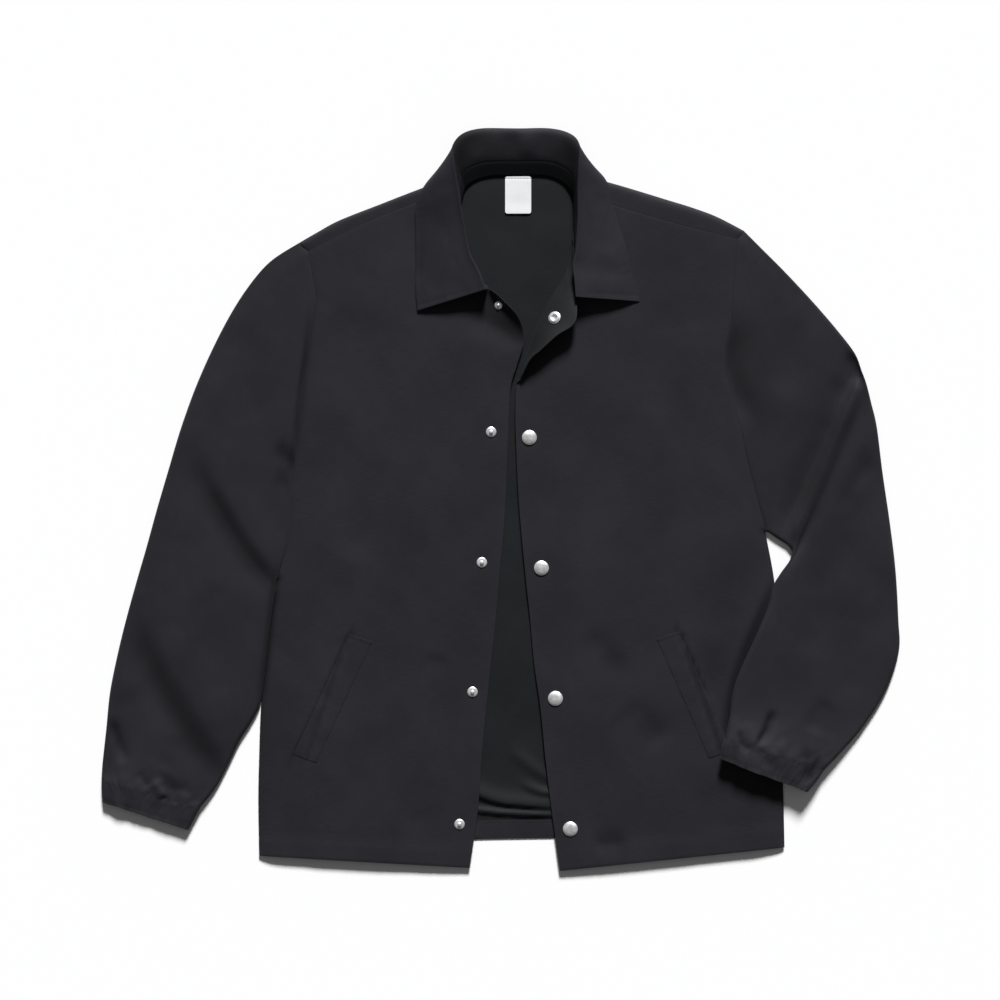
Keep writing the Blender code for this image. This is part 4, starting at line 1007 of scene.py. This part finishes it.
def sleeveGrid(sleeve, armhole, ground):
    places = sleevePlaces(sleeve)
    upperShares = crowded(sleeve["across"] + 1, 0.12)
    underShares = (1 - np.cos(math.pi * np.arange(sleeve["under"] - 1, 0, -1) / sleeve["under"])) / 2
    top, distance = sleeveWall(sleeve, places, upperShares, armhole, ground, True)
    bottom, lower = sleeveWall(sleeve, places, underShares, armhole, ground, False)
    grid = np.concatenate([top, bottom], axis=1)
    around = alongRows(np.concatenate([grid, grid[:, :1]], axis=1))[:, :-1]
    weave = np.stack([around, np.concatenate([distance, lower], axis=1)], -1)
    return grid, weave


def armholeCurve(front, tip, gap):
    points = sideCurve(front, tip)[front["armpitRow"]:]
    return [(x + gap, y, z) for x, y, z in points]


armholeGap = 0.04
rightArmhole = armholeCurve(rightFront, back["shoulderRight"][0], -armholeGap)
leftArmhole = armholeCurve(leftFront, back["shoulderLeft"][-1], armholeGap)
rightSleeveGrid, rightWeave = sleeveGrid(rightSleeve, rightArmhole, onSurface)
leftSleeveGrid, leftWeave = sleeveGrid(leftSleeve, leftArmhole, onLeftFront)


def sleevePiece(name, sleeve, grid, weave, flip, node):
    # painted shade from the sleeve's shades table, on its upper wall only
    folds = paintedShadeAmount(grid, sleeve["shades"], sleeve["across"] + 1)
    mesh = gridMesh(name, grid, closed=True, weave=weave, flip=flip, folds=folds)
    piece = clothPiece(name, mesh, shell, inside)
    finishPiece(piece, "shell", node)
    print(name, "made", round(sheetArea(grid, True), 4))
    return piece


sleeveRight = sleevePiece("sleeveRight", rightSleeve, rightSleeveGrid, rightWeave, False, "sleeve_right")
sleeveLeft = sleevePiece("sleeveLeft", leftSleeve, leftSleeveGrid, leftWeave, True, "sleeve_left")


# Cuffs: elastic casings

cuffs = {
    "right": [
        (-428, -299.55, -322, -329.45, 7.0, 0),
        (-428, -313, -326, -337, 7.0, 0),
        (-427, -324, -335, -354, 7.0, 0),
    ],
    "left": [
        (346.96, -289.36, 240.96, -254.36, 7.0, 4.1),
        (339, -301, 238, -263, 7.0, 4.9),
        (329, -313, 235, -277, 7.0, 5.6),
    ],
    "rings": 22,
    "across": 190,
    "under": 90,
    "height": 1.5,
    "long": 26.0,
    "mouthStitch": 0.84,  # share of the way to the mouth
}


def cuffGrid(rows, ground, sleeve):
    seed = sleeve["gathers"]
    places = np.linspace(0, 1, cuffs["rings"])
    share = np.linspace(0, 1, cuffs["across"] + 1)
    underShare = np.linspace(1, 0, cuffs["under"] + 1)[1:-1]
    walls = []
    for shares, upper in ((share, True), (underShare, False)):
        table = throughRows(rows, places)[:, None, :]
        outer, inner = table[..., 0:2], table[..., 2:4]
        spot = inner + (outer - inner) * shares[None, :, None]
        length = np.linalg.norm(outer - inner, axis=-1)
        along = np.concatenate([outer[..., 1:] - inner[..., 1:], inner[..., :1] - outer[..., :1]], -1)
        along = along / length[..., None]
        reach = np.minimum(np.minimum(shares, 1 - shares)[None] * length / 4.5, 1)
        full = np.sqrt(np.maximum(0, 1 - (1 - reach) ** 2))
        low = ground(spot[..., 0], spot[..., 1]) + table[..., 5]
        half = (table[..., 4] + 0.55) / 2
        wave = gatherField(shares[None], places[:, None] * cuffs["long"], seed)
        swell = 1 - 0.3 * np.sin(math.pi * places[:, None]) ** 2
        if upper:
            z = low + half + half * full + cuffs["height"] * wave * swell * full
            z += sleeveRelief(sleeve, spot[..., 0], spot[..., 1], full)
            z = np.maximum(z, low + 0.9 + (half - 0.9) * (1 - full))
            toStitch = (places[:, None] - cuffs["mouthStitch"]) * cuffs["long"]
            z -= 0.2 * np.exp(-((toStitch / 1.6) ** 2)) * full
        else:
            z = low + half - half * full + 0.4 * cuffs["height"] * (wave + 1) * swell * full
        # the mouth's edge runs in and out with the gathers
        inOut = 0.7 * wave * smoothStep(places[:, None] * 2 - 1)
        spot = spot + along * inOut[..., None]
        walls.append(np.stack([spot[..., 0], spot[..., 1], np.maximum(z, cloth["floor"])], -1))
    grid = np.concatenate(walls, axis=1)
    around = alongRows(np.concatenate([grid, grid[:, :1]], axis=1))[:, :-1]
    return grid, np.stack([around, alongColumns(grid)], -1)


def cuffPiece(side, ground, sleeve, flip):
    grid, weave = cuffGrid(cuffs[side], ground, sleeve)
    name = "cuff" + side.title()
    # painted shade from the sleeve's shades table, on the cuff's upper wall
    folds = paintedShadeAmount(grid, sleeve["shades"], cuffs["across"] + 1)
    mesh = gridMesh(name, grid, closed=True, weave=weave, flip=flip, folds=folds)
    piece = clothPiece(name, mesh, shell, inside)
    finishPiece(piece, "shell", "cuff_" + side)
    print(name, "made", round(sheetArea(grid, True), 4))
    return piece, grid


cuffRight, rightCuffGrid = cuffPiece("right", onSurface, rightSleeve, False)
cuffLeft, leftCuffGrid = cuffPiece("left", onLeftFront, leftSleeve, True)


# Collar, from the right leaf round the neck to the left one. Columns: neck, roll and edge, each x, y, z

collar = {
    "rows": [
        (-14, 226, 4.6, -16, 225, 19, -89, 203, 7.2),
        (-25, 245, 4.6, -24, 246, 18.4, -91, 228, 7.0),
        (-35, 264, 4.6, -33, 264, 18, -91, 258, 6.9),
        (-44, 297, 4.6, -40, 299, 18, -91, 292, 6.9),
        (-43, 316, 4.8, -46, 335, 19, -91, 314, 7),
        (-40, 330, 5.0, -50, 360, 20, -84, 333, 7.2),
        (-37, 337, 3.8, -51, 377, 18, -67, 353, 2.6),
        (-28, 343, 2.4, -41, 391, 15, -47, 357, 1.0),
        (-12, 348, 2.2, -20, 397.4, 12.5, -20, 355, 0.9),
        (17, 349, 2.2, 16, 397.4, 12, 16, 354, 0.9),
        (48, 348.5, 2.2, 53, 397.4, 12.5, 53, 355, 0.9),
        (64, 343, 2.4, 75, 391, 15, 82, 358, 1.0),
        (73, 336, 3.8, 84, 379, 18, 99, 357, 2.6),
        (78, 327, 5.0, 84, 360, 20, 114, 341, 7.2),
        (79, 314, 4.8, 83, 333, 19, 121, 316, 7),
        (79, 293, 4.6, 83, 299, 18, 128, 292, 6.9),
        (80, 267, 4.6, 81, 268, 18.4, 137, 262, 6.9),
        (82, 252, 5.6, 78, 251, 19, 141, 243, 6.9),
        (83.5, 236, 6.6, 79.5, 235, 20, 146, 227, 7.0),
        (85, 218, 6.8, 81, 217, 20.5, 149, 213, 7.2),
    ],
    # painted shade where the collar's inner face lies in shade: darkness, reach left and right of the run,
    # points of the run
    "shades": [
        (1.0, 10, 12, [(-30, 290), (-36, 322), (-42, 345), (-46, 366), (-42, 384), (-24, 396),
                       (-4, 398)]),
        (0.9, 9, 10, [(78, 240), (80, 280), (81, 320), (81, 350), (78, 372), (66, 388), (44, 398)]),
        (0.35, 12, 12, [(-50, 362), (-10, 358), (30, 357), (84, 360)]),
    ],
    "standShare": 0.12,
    "rollSpread": 2.6,
    "wall": 0.9,
    "rowsMade": 190,
    "standColumns": 7,
    "fallColumns": 60,
    "edgeStitch": 6.0,
    "leafHeight": 7.5,  # the leaf's edge is sewn where it lies at least this high
}


def collarGrid(first, last, columns):
    rows = throughRows(collar["rows"], np.linspace(0, 1, collar["rowsMade"]))
    shares = np.linspace(first, last, columns)
    grid = []
    for row in rows:
        neck, roll, edge = row[0:3], row[3:6], row[6:9]
        rising = (roll - neck) / np.linalg.norm(roll - neck)
        falling = (edge - roll) / np.linalg.norm(edge - roll)
        doubled = max(0.0, -float(rising @ falling)) ** 2
        spread = np.array([0, 0, collar["rollSpread"]])
        steep = np.array([0, 0, 3.2]) * float(smoothStep((neck[1] - 300) / 40))
        chain = [
            neck,
            neck + (roll - neck) * 0.42 + steep + spread * 0.4 * doubled,
            neck + (roll - neck) * (0.74 + 0.12 * doubled) + steep * 0.6 + spread * 0.8 * doubled,
            roll,
            roll + (edge - roll) * (0.13 - 0.03 * doubled) - spread * 0.9 * doubled,
            roll + (edge - roll) * 0.55 + spread * (0.5 - 0.8 * doubled),
            edge,
        ]
        grid.append(throughRows(chain, shares))
    return np.array(grid)


def dressFall(grid):
    # leaves aren't quite flat: a soft wave, and the edge stitching draws them in
    toEdge = alongRows(grid[:, ::-1])[:, ::-1]
    run = alongColumns(grid)
    leaf = smoothStep((alongRows(grid) - 14) / 10)
    x, y = grid[..., 0], grid[..., 1]
    ends = np.minimum(run, run[-1:] - run)
    lying = leaf * smoothStep((340 - y) / 20)
    grid[..., 2] += (0.7 * softNoise(x, y, 26, 40, 91) + 0.25 * softNoise(x, y, 11, 15, 92)) * lying
    grid[..., 2] += seamLine(toEdge - collar["edgeStitch"], run, 0.22, 0.12, 8.0, 93) * lying
    grid[..., 2] += seamLine(ends - collar["edgeStitch"], toEdge, 0.22, 0.08, 8.0, 94) * lying
    standing = smoothStep((y - 345) / 15)
    grid[..., 2] += 0.8 * softNoise(x, y, 17, 22, 95) * standing * smoothStep(alongRows(grid) / 12)
    return grid


standGrid = collarGrid(0.0, collar["standShare"], collar["standColumns"])
fallGrid = dressFall(collarGrid(collar["standShare"] + 0.0012, 1.0, collar["fallColumns"]))


def collarWeave(grid):
    return np.stack([alongColumns(grid), alongRows(grid)], -1)


# painted shade in the collar's inner corners, on the stand and on the fall up to its roll
standPaintedShade = paintedShadeAmount(standGrid, collar["shades"])
standMesh = gridMesh("collarStand", standGrid, weave=collarWeave(standGrid), folds=standPaintedShade)
collarStand = clothPiece("collarStand", standMesh, inside, inside, collar["wall"], 0.1)
rollShare = (0.5 - collar["standShare"]) / (1 - collar["standShare"])
rollColumn = int(rollShare * (collar["fallColumns"] - 1)) - 1
fallPaintedShade = paintedShadeAmount(fallGrid, collar["shades"], rollColumn)
fallMesh = gridMesh("collarFall", fallGrid, weave=collarWeave(fallGrid), folds=fallPaintedShade)
collarFall = clothPiece("collarFall", fallMesh, shell, shell, collar["wall"], 0.3)
finishPiece(collarStand, "inside", "collar_stand")
finishPiece(collarFall, "shell", "collar_fall")
print("collar made", round(sheetArea(standGrid), 4), round(sheetArea(fallGrid), 4))


# Pocket welts: sewn down along the inner side and both ends, open along the outer side

welts = {
    "rows": 72,
    "columns": 16,
    "wall": 0.3,
    "sewn": 0.43,
    "open": 0.3,
    "stitchInset": 3.0,
    "edge": 0.06,
}


def weltGrid(corners, surface, seed):
    outerTop, innerTop, innerLow, outerLow = (np.array(corner, float) for corner in corners)
    grid = np.empty((welts["rows"], welts["columns"], 3))
    for step, part in enumerate(np.linspace(0, 1, welts["rows"])):
        outer = outerTop + (outerLow - outerTop) * part
        inner = innerTop + (innerLow - innerTop) * part
        for column, share in enumerate(np.linspace(0, 1, welts["columns"])):
            x, y = outer + (inner - outer) * share
            place, _ = heightOn(surface, x, y)
            bow = welts["open"] * (1 - share) ** 2 * math.sin(math.pi * part) ** 0.4
            grid[step, column] = (x, y, place.z + welts["sewn"] + bow)
    run = alongColumns(grid)
    toEnd = np.minimum(run, run[-1:] - run)
    toInner = alongRows(grid)[:, -1:] - alongRows(grid)
    grid[..., 2] += seamLine(toEnd - welts["stitchInset"], alongRows(grid), 0.15, 0.0, 8, seed)
    grid[..., 2] += 0.5 * seamLine(toInner - 1.5, run, 0.15, 0.1, 8, seed + 1)
    open = smoothStep((alongRows(grid)[:, -1:] - toInner + 6) / 8)
    grid[..., 2] += 0.12 * softNoise(run, toInner, 14, 12, seed + 2) * open
    # the opening's edge is no lower than the row beside it
    grid[:, 0, 2] = np.maximum(grid[:, 0, 2], grid[:, 1, 2])
    return grid


weltRightGrid = weltGrid(rightFront["pocket"], rightSurface, 101)
weltLeftGrid = weltGrid(leftFront["pocket"], leftSurface, 111)
weltRightMesh = gridMesh("pocketWeltRight", weltRightGrid, flip=True)
weltLeftMesh = gridMesh("pocketWeltLeft", weltLeftGrid)
weltRight = clothPiece("pocketWeltRight", weltRightMesh, shell, shell, welts["wall"], welts["edge"])
weltLeft = clothPiece("pocketWeltLeft", weltLeftMesh, shell, shell, welts["wall"], welts["edge"])
finishPiece(weltRight, "shell", "pocket_welt_right")
finishPiece(weltLeft, "shell", "pocket_welt_left")
print("welts made", round(sheetArea(weltRightGrid), 5))


# Label: bare woven satin

label = {"size": (28.0, 40.0), "corner": 2.5, "place": (19.0, 327.6), "wall": 0.45, "height": 1.75}


def labelGrid():
    width, tall = label["size"]
    u = crowded(31, 0.1)[None, :] * 2 - 1
    v = crowded(43, 0.1)[:, None] * 2 - 1
    # corners rounded by drawing the square's points in towards them
    x = u * width / 2 + 0 * v
    y = v * tall / 2 + 0 * u
    corner = label["corner"]
    overX = np.maximum(np.abs(x) - (width / 2 - corner), 0)
    overY = np.maximum(np.abs(y) - (tall / 2 - corner), 0)
    reach = np.hypot(overX, overY)
    largest = np.maximum(overX, overY)
    pull = np.where(reach > 0, largest / np.maximum(reach, 1e-6), 1)
    x = np.sign(x) * (np.abs(x) - overX * (1 - pull))
    y = np.sign(y) * (np.abs(y) - overY * (1 - pull))
    z = label["height"] + 0.35 * (1 - smoothStep((y + tall / 2) / 14)) + 0.1 * np.sin(x / 5.5)
    z += 0.1 * softNoise(x, y, 9, 12, 121)
    z -= 0.2 * np.exp(-(((tall / 2 - 2.2) - y) / 0.9) ** 2)
    return np.stack([x + label["place"][0], y + label["place"][1], z], -1)


labelSheet = labelGrid()
neckLabel = clothPiece("neckLabel", gridMesh("neckLabel", labelSheet), satin, satin, label["wall"], 0.12)
finishPiece(neckLabel, "label", "neck_label")


# Snaps, turned from profiles: radius share or mm, height in mm

snaps = {
    "cap": [(0, 2.7), (2.4, 2.66), (4.6, 2.42), (6.2, 2.0), (7.0, 1.62), (7.3, 1.42),
            (7.55, 1.36), (7.85, 1.2),
            (8.0, 0.85), (7.95, 0.45), (7.6, 0.2), (7.0, 0.05), (0, 0.05)],
    "stud": [(0, 3.2), (1.2, 3.12), (1.9, 2.85), (2.25, 2.4), (2.2, 2.0), (1.95, 1.65),
             (1.95, 1.4), (2.6, 1.28),
             (3.3, 1.3), (3.8, 1.38), (4.4, 1.2), (4.9, 0.95), (5.45, 0.8), (5.6, 0.55),
             (5.5, 0.25), (5.0, 0.05), (0, 0.05)],
    "socket": [(0, 0.55), (2.5, 0.55), (2.75, 0.7), (2.8, 1.5), (3.1, 1.85), (3.8, 2.05),
               (4.6, 2.05), (5.3, 1.8),
               (5.7, 1.3), (6.2, 0.95), (6.7, 0.8), (6.8, 0.5), (6.6, 0.15), (6.0, 0.05), (0, 0.05)],
    "steps": 48,
    "studPlaces": [(-10, 73), (-20, -67), (-30, -206), (-44, -348)],
    "capPlaces": [(31, 67), (44, -73), (59, -213), (75, -353)],
    "neckStud": (-2, 209),
    "neckSocket": (58, 195),
    "neckShare": 4.4 / 5.6,
}


def turnedSnap(name, profile, surface, spot, node, share=1.0):
    place, normal = heightOn(surface, *spot)
    form = bmesh.new()
    rings = []
    for radius, height in profile:
        if radius == 0:
            rings.append([form.verts.new((0, 0, height * mm))])
            continue
        ring = []
        for step in range(snaps["steps"]):
            angle = 2 * math.pi * step / snaps["steps"]
            x, y = radius * share * math.cos(angle), radius * share * math.sin(angle)
            ring.append(form.verts.new((x * mm, y * mm, height * mm)))
        rings.append(ring)
    for upper, lower in zip(rings, rings[1:]):
        for step in range(snaps["steps"]):
            after = (step + 1) % snaps["steps"]
            if len(upper) == 1:
                form.faces.new((upper[0], lower[step], lower[after]))
            elif len(lower) == 1:
                form.faces.new((upper[step], lower[0], upper[after]))
            else:
                form.faces.new((upper[step], lower[step], lower[after], upper[after]))
    bmesh.ops.recalc_face_normals(form, faces=form.faces)
    turn = normal.to_track_quat("Z", "Y").to_matrix().to_4x4()
    turn.translation = (place + normal * (cloth["wall"] / 2 + 0.02)) * mm
    form.transform(turn)
    mesh = bpy.data.meshes.new(name)
    form.to_mesh(mesh)
    form.free()
    mesh.shade_smooth()
    mesh.set_sharp_from_angle(angle=math.radians(50))
    mesh.materials.append(metal)
    piece = bpy.data.objects.new(name, mesh)
    bpy.context.scene.collection.objects.link(piece)
    finishPiece(piece, "snap", node)
    return piece


for number, spot in enumerate(snaps["studPlaces"], 1):
    turnedSnap(f"snapStud{number}", snaps["stud"], rightSurface, spot, f"snap_stud_{number}")
for number, spot in enumerate(snaps["capPlaces"], 1):
    turnedSnap(f"snapCap{number}", snaps["cap"], leftSurface, spot, f"snap_cap_{number}")
turnedSnap(
    "snapStudNeck", snaps["stud"], rightSurface, snaps["neckStud"], "snap_stud_neck", snaps["neckShare"],
)
turnedSnap("snapSocketNeck", snaps["socket"], flapSurface, snaps["neckSocket"], "snap_socket_neck")
print("snaps made")


# Stitches: lines of points on the cloth, made into rows of thread by Geometry Nodes

stitching = {"pitch": 3.1, "length": 2.6, "thread": 0.4, "flatness": 0.62, "lift": 0.06, "seed": 5}


def stitchTree():
    tree = bpy.data.node_groups.new("stitchRow", "GeometryNodeTree")
    tree.interface.new_socket("Lines", in_out="INPUT", socket_type="NodeSocketGeometry")
    for name in ("Pitch", "Length", "Thread", "Flatness"):
        tree.interface.new_socket(name, in_out="INPUT", socket_type="NodeSocketFloat")
    tree.interface.new_socket("Seed", in_out="INPUT", socket_type="NodeSocketInt")
    tree.interface.new_socket("Stitches", in_out="OUTPUT", socket_type="NodeSocketGeometry")
    start = tree.nodes.new("NodeGroupInput").outputs
    curve = node(tree, "GeometryNodeMeshToCurve", {"Mesh": start["Lines"]})
    spaced = node(tree, "GeometryNodeResampleCurve", {"Curve": curve.outputs[0]}, mode="LENGTH")
    tree.links.new(start["Pitch"], spaced.inputs["Length"])
    tangent = node(tree, "GeometryNodeInputTangent")
    turn = node(
        tree, "FunctionNodeAlignRotationToVector", {"Vector": tangent.outputs[0]}, axis="X", pivot_axis="Z",
    )
    bead = node(tree, "GeometryNodeMeshUVSphere", {"Segments": 6, "Rings": 5, "Radius": 0.5})
    smooth = node(tree, "GeometryNodeSetShadeSmooth", {"Geometry": bead.outputs["Mesh"]})
    uneven = node(tree, "FunctionNodeRandomValue", data_type="FLOAT")
    uneven.inputs[2].default_value = 0.86
    uneven.inputs[3].default_value = 1.04
    tree.links.new(start["Seed"], uneven.inputs["Seed"])
    reach = node(tree, "ShaderNodeMath", {0: start["Length"], 1: uneven.outputs[1]}, operation="MULTIPLY")
    high = node(tree, "ShaderNodeMath", {0: start["Thread"], 1: start["Flatness"]}, operation="MULTIPLY")
    axes = {"X": reach.outputs[0], "Y": start["Thread"], "Z": high.outputs[0]}
    size = node(tree, "ShaderNodeCombineXYZ", axes)
    beads = {"Points": spaced.outputs[0], "Instance": smooth.outputs[0]}
    beads.update({"Rotation": turn.outputs[0], "Scale": size.outputs[0]})
    placed = node(tree, "GeometryNodeInstanceOnPoints", beads)
    real = node(tree, "GeometryNodeRealizeInstances", {"Geometry": placed.outputs[0]})
    coloured = node(tree, "GeometryNodeSetMaterial", {"Geometry": real.outputs[0], "Material": thread})
    end = tree.nodes.new("NodeGroupOutput")
    tree.links.new(coloured.outputs[0], end.inputs["Stitches"])
    return tree


stitchRow = stitchTree()


def sewLines(name, lines, slot="shell"):
    # every line is a run of points in mm; each becomes its own row of stitches
    points, edges = [], []
    for line in lines:
        first = len(points)
        points.extend((np.asarray(line) * mm).tolist())
        edges.extend((first + step, first + step + 1) for step in range(len(line) - 1))
    mesh = bpy.data.meshes.new(name + "Lines")
    mesh.from_pydata(points, edges, [])
    guide = bpy.data.objects.new(name + "Lines", mesh)
    bpy.context.scene.collection.objects.link(guide)
    rows = guide.modifiers.new("stitches", "NODES")
    rows.node_group = stitchRow
    inputs = [item for item in stitchRow.interface.items_tree if item.in_out == "INPUT"]
    sockets = {item.name: item.identifier for item in inputs}
    for socket in ("Pitch", "Length", "Thread"):
        rows[sockets[socket]] = stitching[socket.lower()] * mm
    rows[sockets["Flatness"]] = stitching["flatness"]
    rows[sockets["Seed"]] = stitching["seed"]
    made = bpy.data.meshes.new_from_object(guide.evaluated_get(bpy.context.evaluated_depsgraph_get()))
    made.name = name
    bpy.data.objects.remove(guide, do_unlink=True)
    piece = bpy.data.objects.new(name, made)
    bpy.context.scene.collection.objects.link(piece)
    finishPiece(piece, slot)
    return piece


def gridNormals(grid):
    down = np.gradient(grid, axis=0)
    across = np.gradient(grid, axis=1)
    normal = np.cross(across, down)
    return normal / np.maximum(np.linalg.norm(normal, axis=-1), 1e-9)[..., None]


def pickOn(grid, rowIndex, columnIndex, wall):
    # points between a grid's points, moved out to its upper face
    normal = gridNormals(grid)
    rowIndex, columnIndex = np.broadcast_arrays(rowIndex, columnIndex)
    r = np.clip(np.floor(rowIndex).astype(int), 0, grid.shape[0] - 2)
    c = np.clip(np.floor(columnIndex).astype(int), 0, grid.shape[1] - 2)
    partR = (rowIndex - r)[:, None]
    partC = (columnIndex - c)[:, None]
    found = []
    for field in (grid, normal):
        low = field[r, c] * (1 - partC) + field[r, c + 1] * partC
        high = field[r + 1, c] * (1 - partC) + field[r + 1, c + 1] * partC
        found.append(low * (1 - partR) + high * partR)
    spot, outward = found
    outward = outward * np.sign(outward[:, 2:3])
    return spot + outward * (wall / 2 + stitching["lift"])


def rowAtDistance(grid, distance):
    # for each column, the fractional row that lies a distance from the first row
    run = alongColumns(grid)
    return np.array([np.interp(distance, run[:, c], np.arange(len(run))) for c in range(grid.shape[1])])


def columnAtEdge(grid, distance):
    run = alongRows(grid[:, ::-1])
    last = grid.shape[1] - 1
    return np.array([last - np.interp(distance, row, np.arange(len(row))) for row in run])


def hemLine(grid):
    columns = np.arange(1, grid.shape[1] - 1)
    return pickOn(grid, rowAtDistance(grid, hem["width"])[columns], columns, cloth["wall"])


def placketLine(grid, topShare):
    rows = np.arange(2, int(len(grid) * topShare))
    return pickOn(grid, rows, columnAtEdge(grid, placket["width"])[rows], cloth["wall"])


sewLines("stitchesFrontRight", [hemLine(rightGrid), placketLine(rightGrid, 0.78)])
sewLines("stitchesFrontLeft", [hemLine(leftFlat), placketLine(leftFlat, 0.66)])


def collarLines():
    rows = np.arange(collar["rowsMade"])
    inset = columnAtEdge(fallGrid, collar["edgeStitch"])
    lines = []
    edgeRow = rowAtDistance(fallGrid, collar["edgeStitch"])
    lastColumn = int(inset[4:20].mean())
    columns = np.arange(14, lastColumn)
    lines.append(pickOn(fallGrid, edgeRow[columns], columns, collar["wall"]))
    backwards = rowAtDistance(fallGrid[::-1], collar["edgeStitch"])
    lines.append(pickOn(fallGrid, collar["rowsMade"] - 1 - backwards[columns], columns, collar["wall"]))
    first = int(edgeRow[lastColumn])
    keep = rows[(rows >= first) & (rows <= collar["rowsMade"] - 1 - first)]
    lying = keep[fallGrid[keep, -1, 2] > collar["leafHeight"]]
    right = lying[lying < collar["rowsMade"] / 2]
    left = lying[lying > collar["rowsMade"] / 2]
    for part in (right, left):
        lines.append(pickOn(fallGrid, part, inset[part], collar["wall"]))
    return lines


sewLines("stitchesCollar", collarLines())


def weltLines(grid):
    rows, columns = grid.shape[:2]
    inset = welts["stitchInset"]
    wall = welts["wall"]
    lines = [pickOn(grid, np.arange(1, rows - 1), columnAtEdge(grid, 1.5)[1:-1], wall)]
    for far in (inset, inset * 0.45):
        lines.append(pickOn(grid, rowAtDistance(grid, far), np.arange(columns), wall))
        lines.append(pickOn(grid, rows - 1 - rowAtDistance(grid[::-1], far), np.arange(columns), wall))
    return lines


sewLines("stitchesWelts", weltLines(weltRightGrid) + weltLines(weltLeftGrid))


def cuffLines(grid):
    lines = []
    for ring in (1.5, cuffs["rings"] * 0.86 - 0.5):
        columns = np.arange(3, cuffs["across"] - 2)
        lines.append(pickOn(grid, np.full(len(columns), ring), columns, cloth["wall"]))
    return lines


sewLines("stitchesCuffs", cuffLines(rightCuffGrid) + cuffLines(leftCuffGrid))

bandRow = np.interp(back["bandWidth"] - 2.5, alongColumns(hemBand)[:, 5], np.arange(len(hemBand)))
sewLines("stitchesBackHem", [pickOn(hemBand, np.full(178, bandRow), np.arange(1, 179), cloth["wall"])])
labelRow = np.interp(label["size"][1] - 2.2, alongColumns(labelSheet)[:, 15], np.arange(len(labelSheet)))
labelLine = pickOn(labelSheet, np.full(27, labelRow), np.arange(2, 29), label["wall"])
sewLines("stitchesLabel", [labelLine], "label")
print("stitches made")


# Floor, light and camera

studio = {
    "floor": (0.92, 0.92, 0.925),
    "world": 0.11,
    "key": {"strength": 6.5, "softness": 13, "azimuth": 6, "elevation": 28},  # degrees, from +Y to +X
    "camera": {"x": -0.0005, "height": 3.0, "across": 1.075},
}


def addFloor():
    form = bmesh.new()
    bmesh.ops.create_grid(form, x_segments=1, y_segments=1, size=4)
    mesh = bpy.data.meshes.new("floor")
    form.to_mesh(mesh)
    form.free()
    floor = bpy.data.objects.new("floor", mesh)
    bpy.context.scene.collection.objects.link(floor)
    paper = bpy.data.materials.new("palePaper")
    paper.use_nodes = True
    shader = paper.node_tree.nodes["Principled BSDF"]
    shader.inputs["Base Color"].default_value = (*studio["floor"], 1)
    shader.inputs["Roughness"].default_value = 0.9
    shader.inputs["Specular IOR Level"].default_value = 0.1
    mesh.materials.append(paper)


def addLight(name, look):
    light = bpy.data.lights.new(name, "SUN")
    light.energy = look["strength"]
    light.angle = math.radians(look["softness"])
    lamp = bpy.data.objects.new(name, light)
    bpy.context.scene.collection.objects.link(lamp)
    across, high = math.radians(look["azimuth"]), math.radians(look["elevation"])
    level = math.cos(high)
    towards = Vector((math.sin(across) * level, math.cos(across) * level, math.sin(high)))
    lamp.location = towards * 3
    lamp.rotation_euler = towards.to_track_quat("Z", "Y").to_euler()


def addCamera():
    look = studio["camera"]
    lens = bpy.data.cameras.new("camera")
    lens.sensor_width = 36
    lens.lens = lens.sensor_width * look["height"] / look["across"]
    lens.clip_end = 50
    camera = bpy.data.objects.new("camera", lens)
    bpy.context.scene.collection.objects.link(camera)
    camera.location = (look["x"], 0, look["height"])
    bpy.context.scene.camera = camera


addFloor()
addLight("key", studio["key"])
addCamera()
world = bpy.data.worlds.new("studio")
world.use_nodes = True
world.node_tree.nodes["Background"].inputs["Color"].default_value = (1, 1, 1, 1)
world.node_tree.nodes["Background"].inputs["Strength"].default_value = studio["world"]
bpy.context.scene.world = world
bpy.context.scene.view_settings.view_transform = "Standard"
print("studio made")
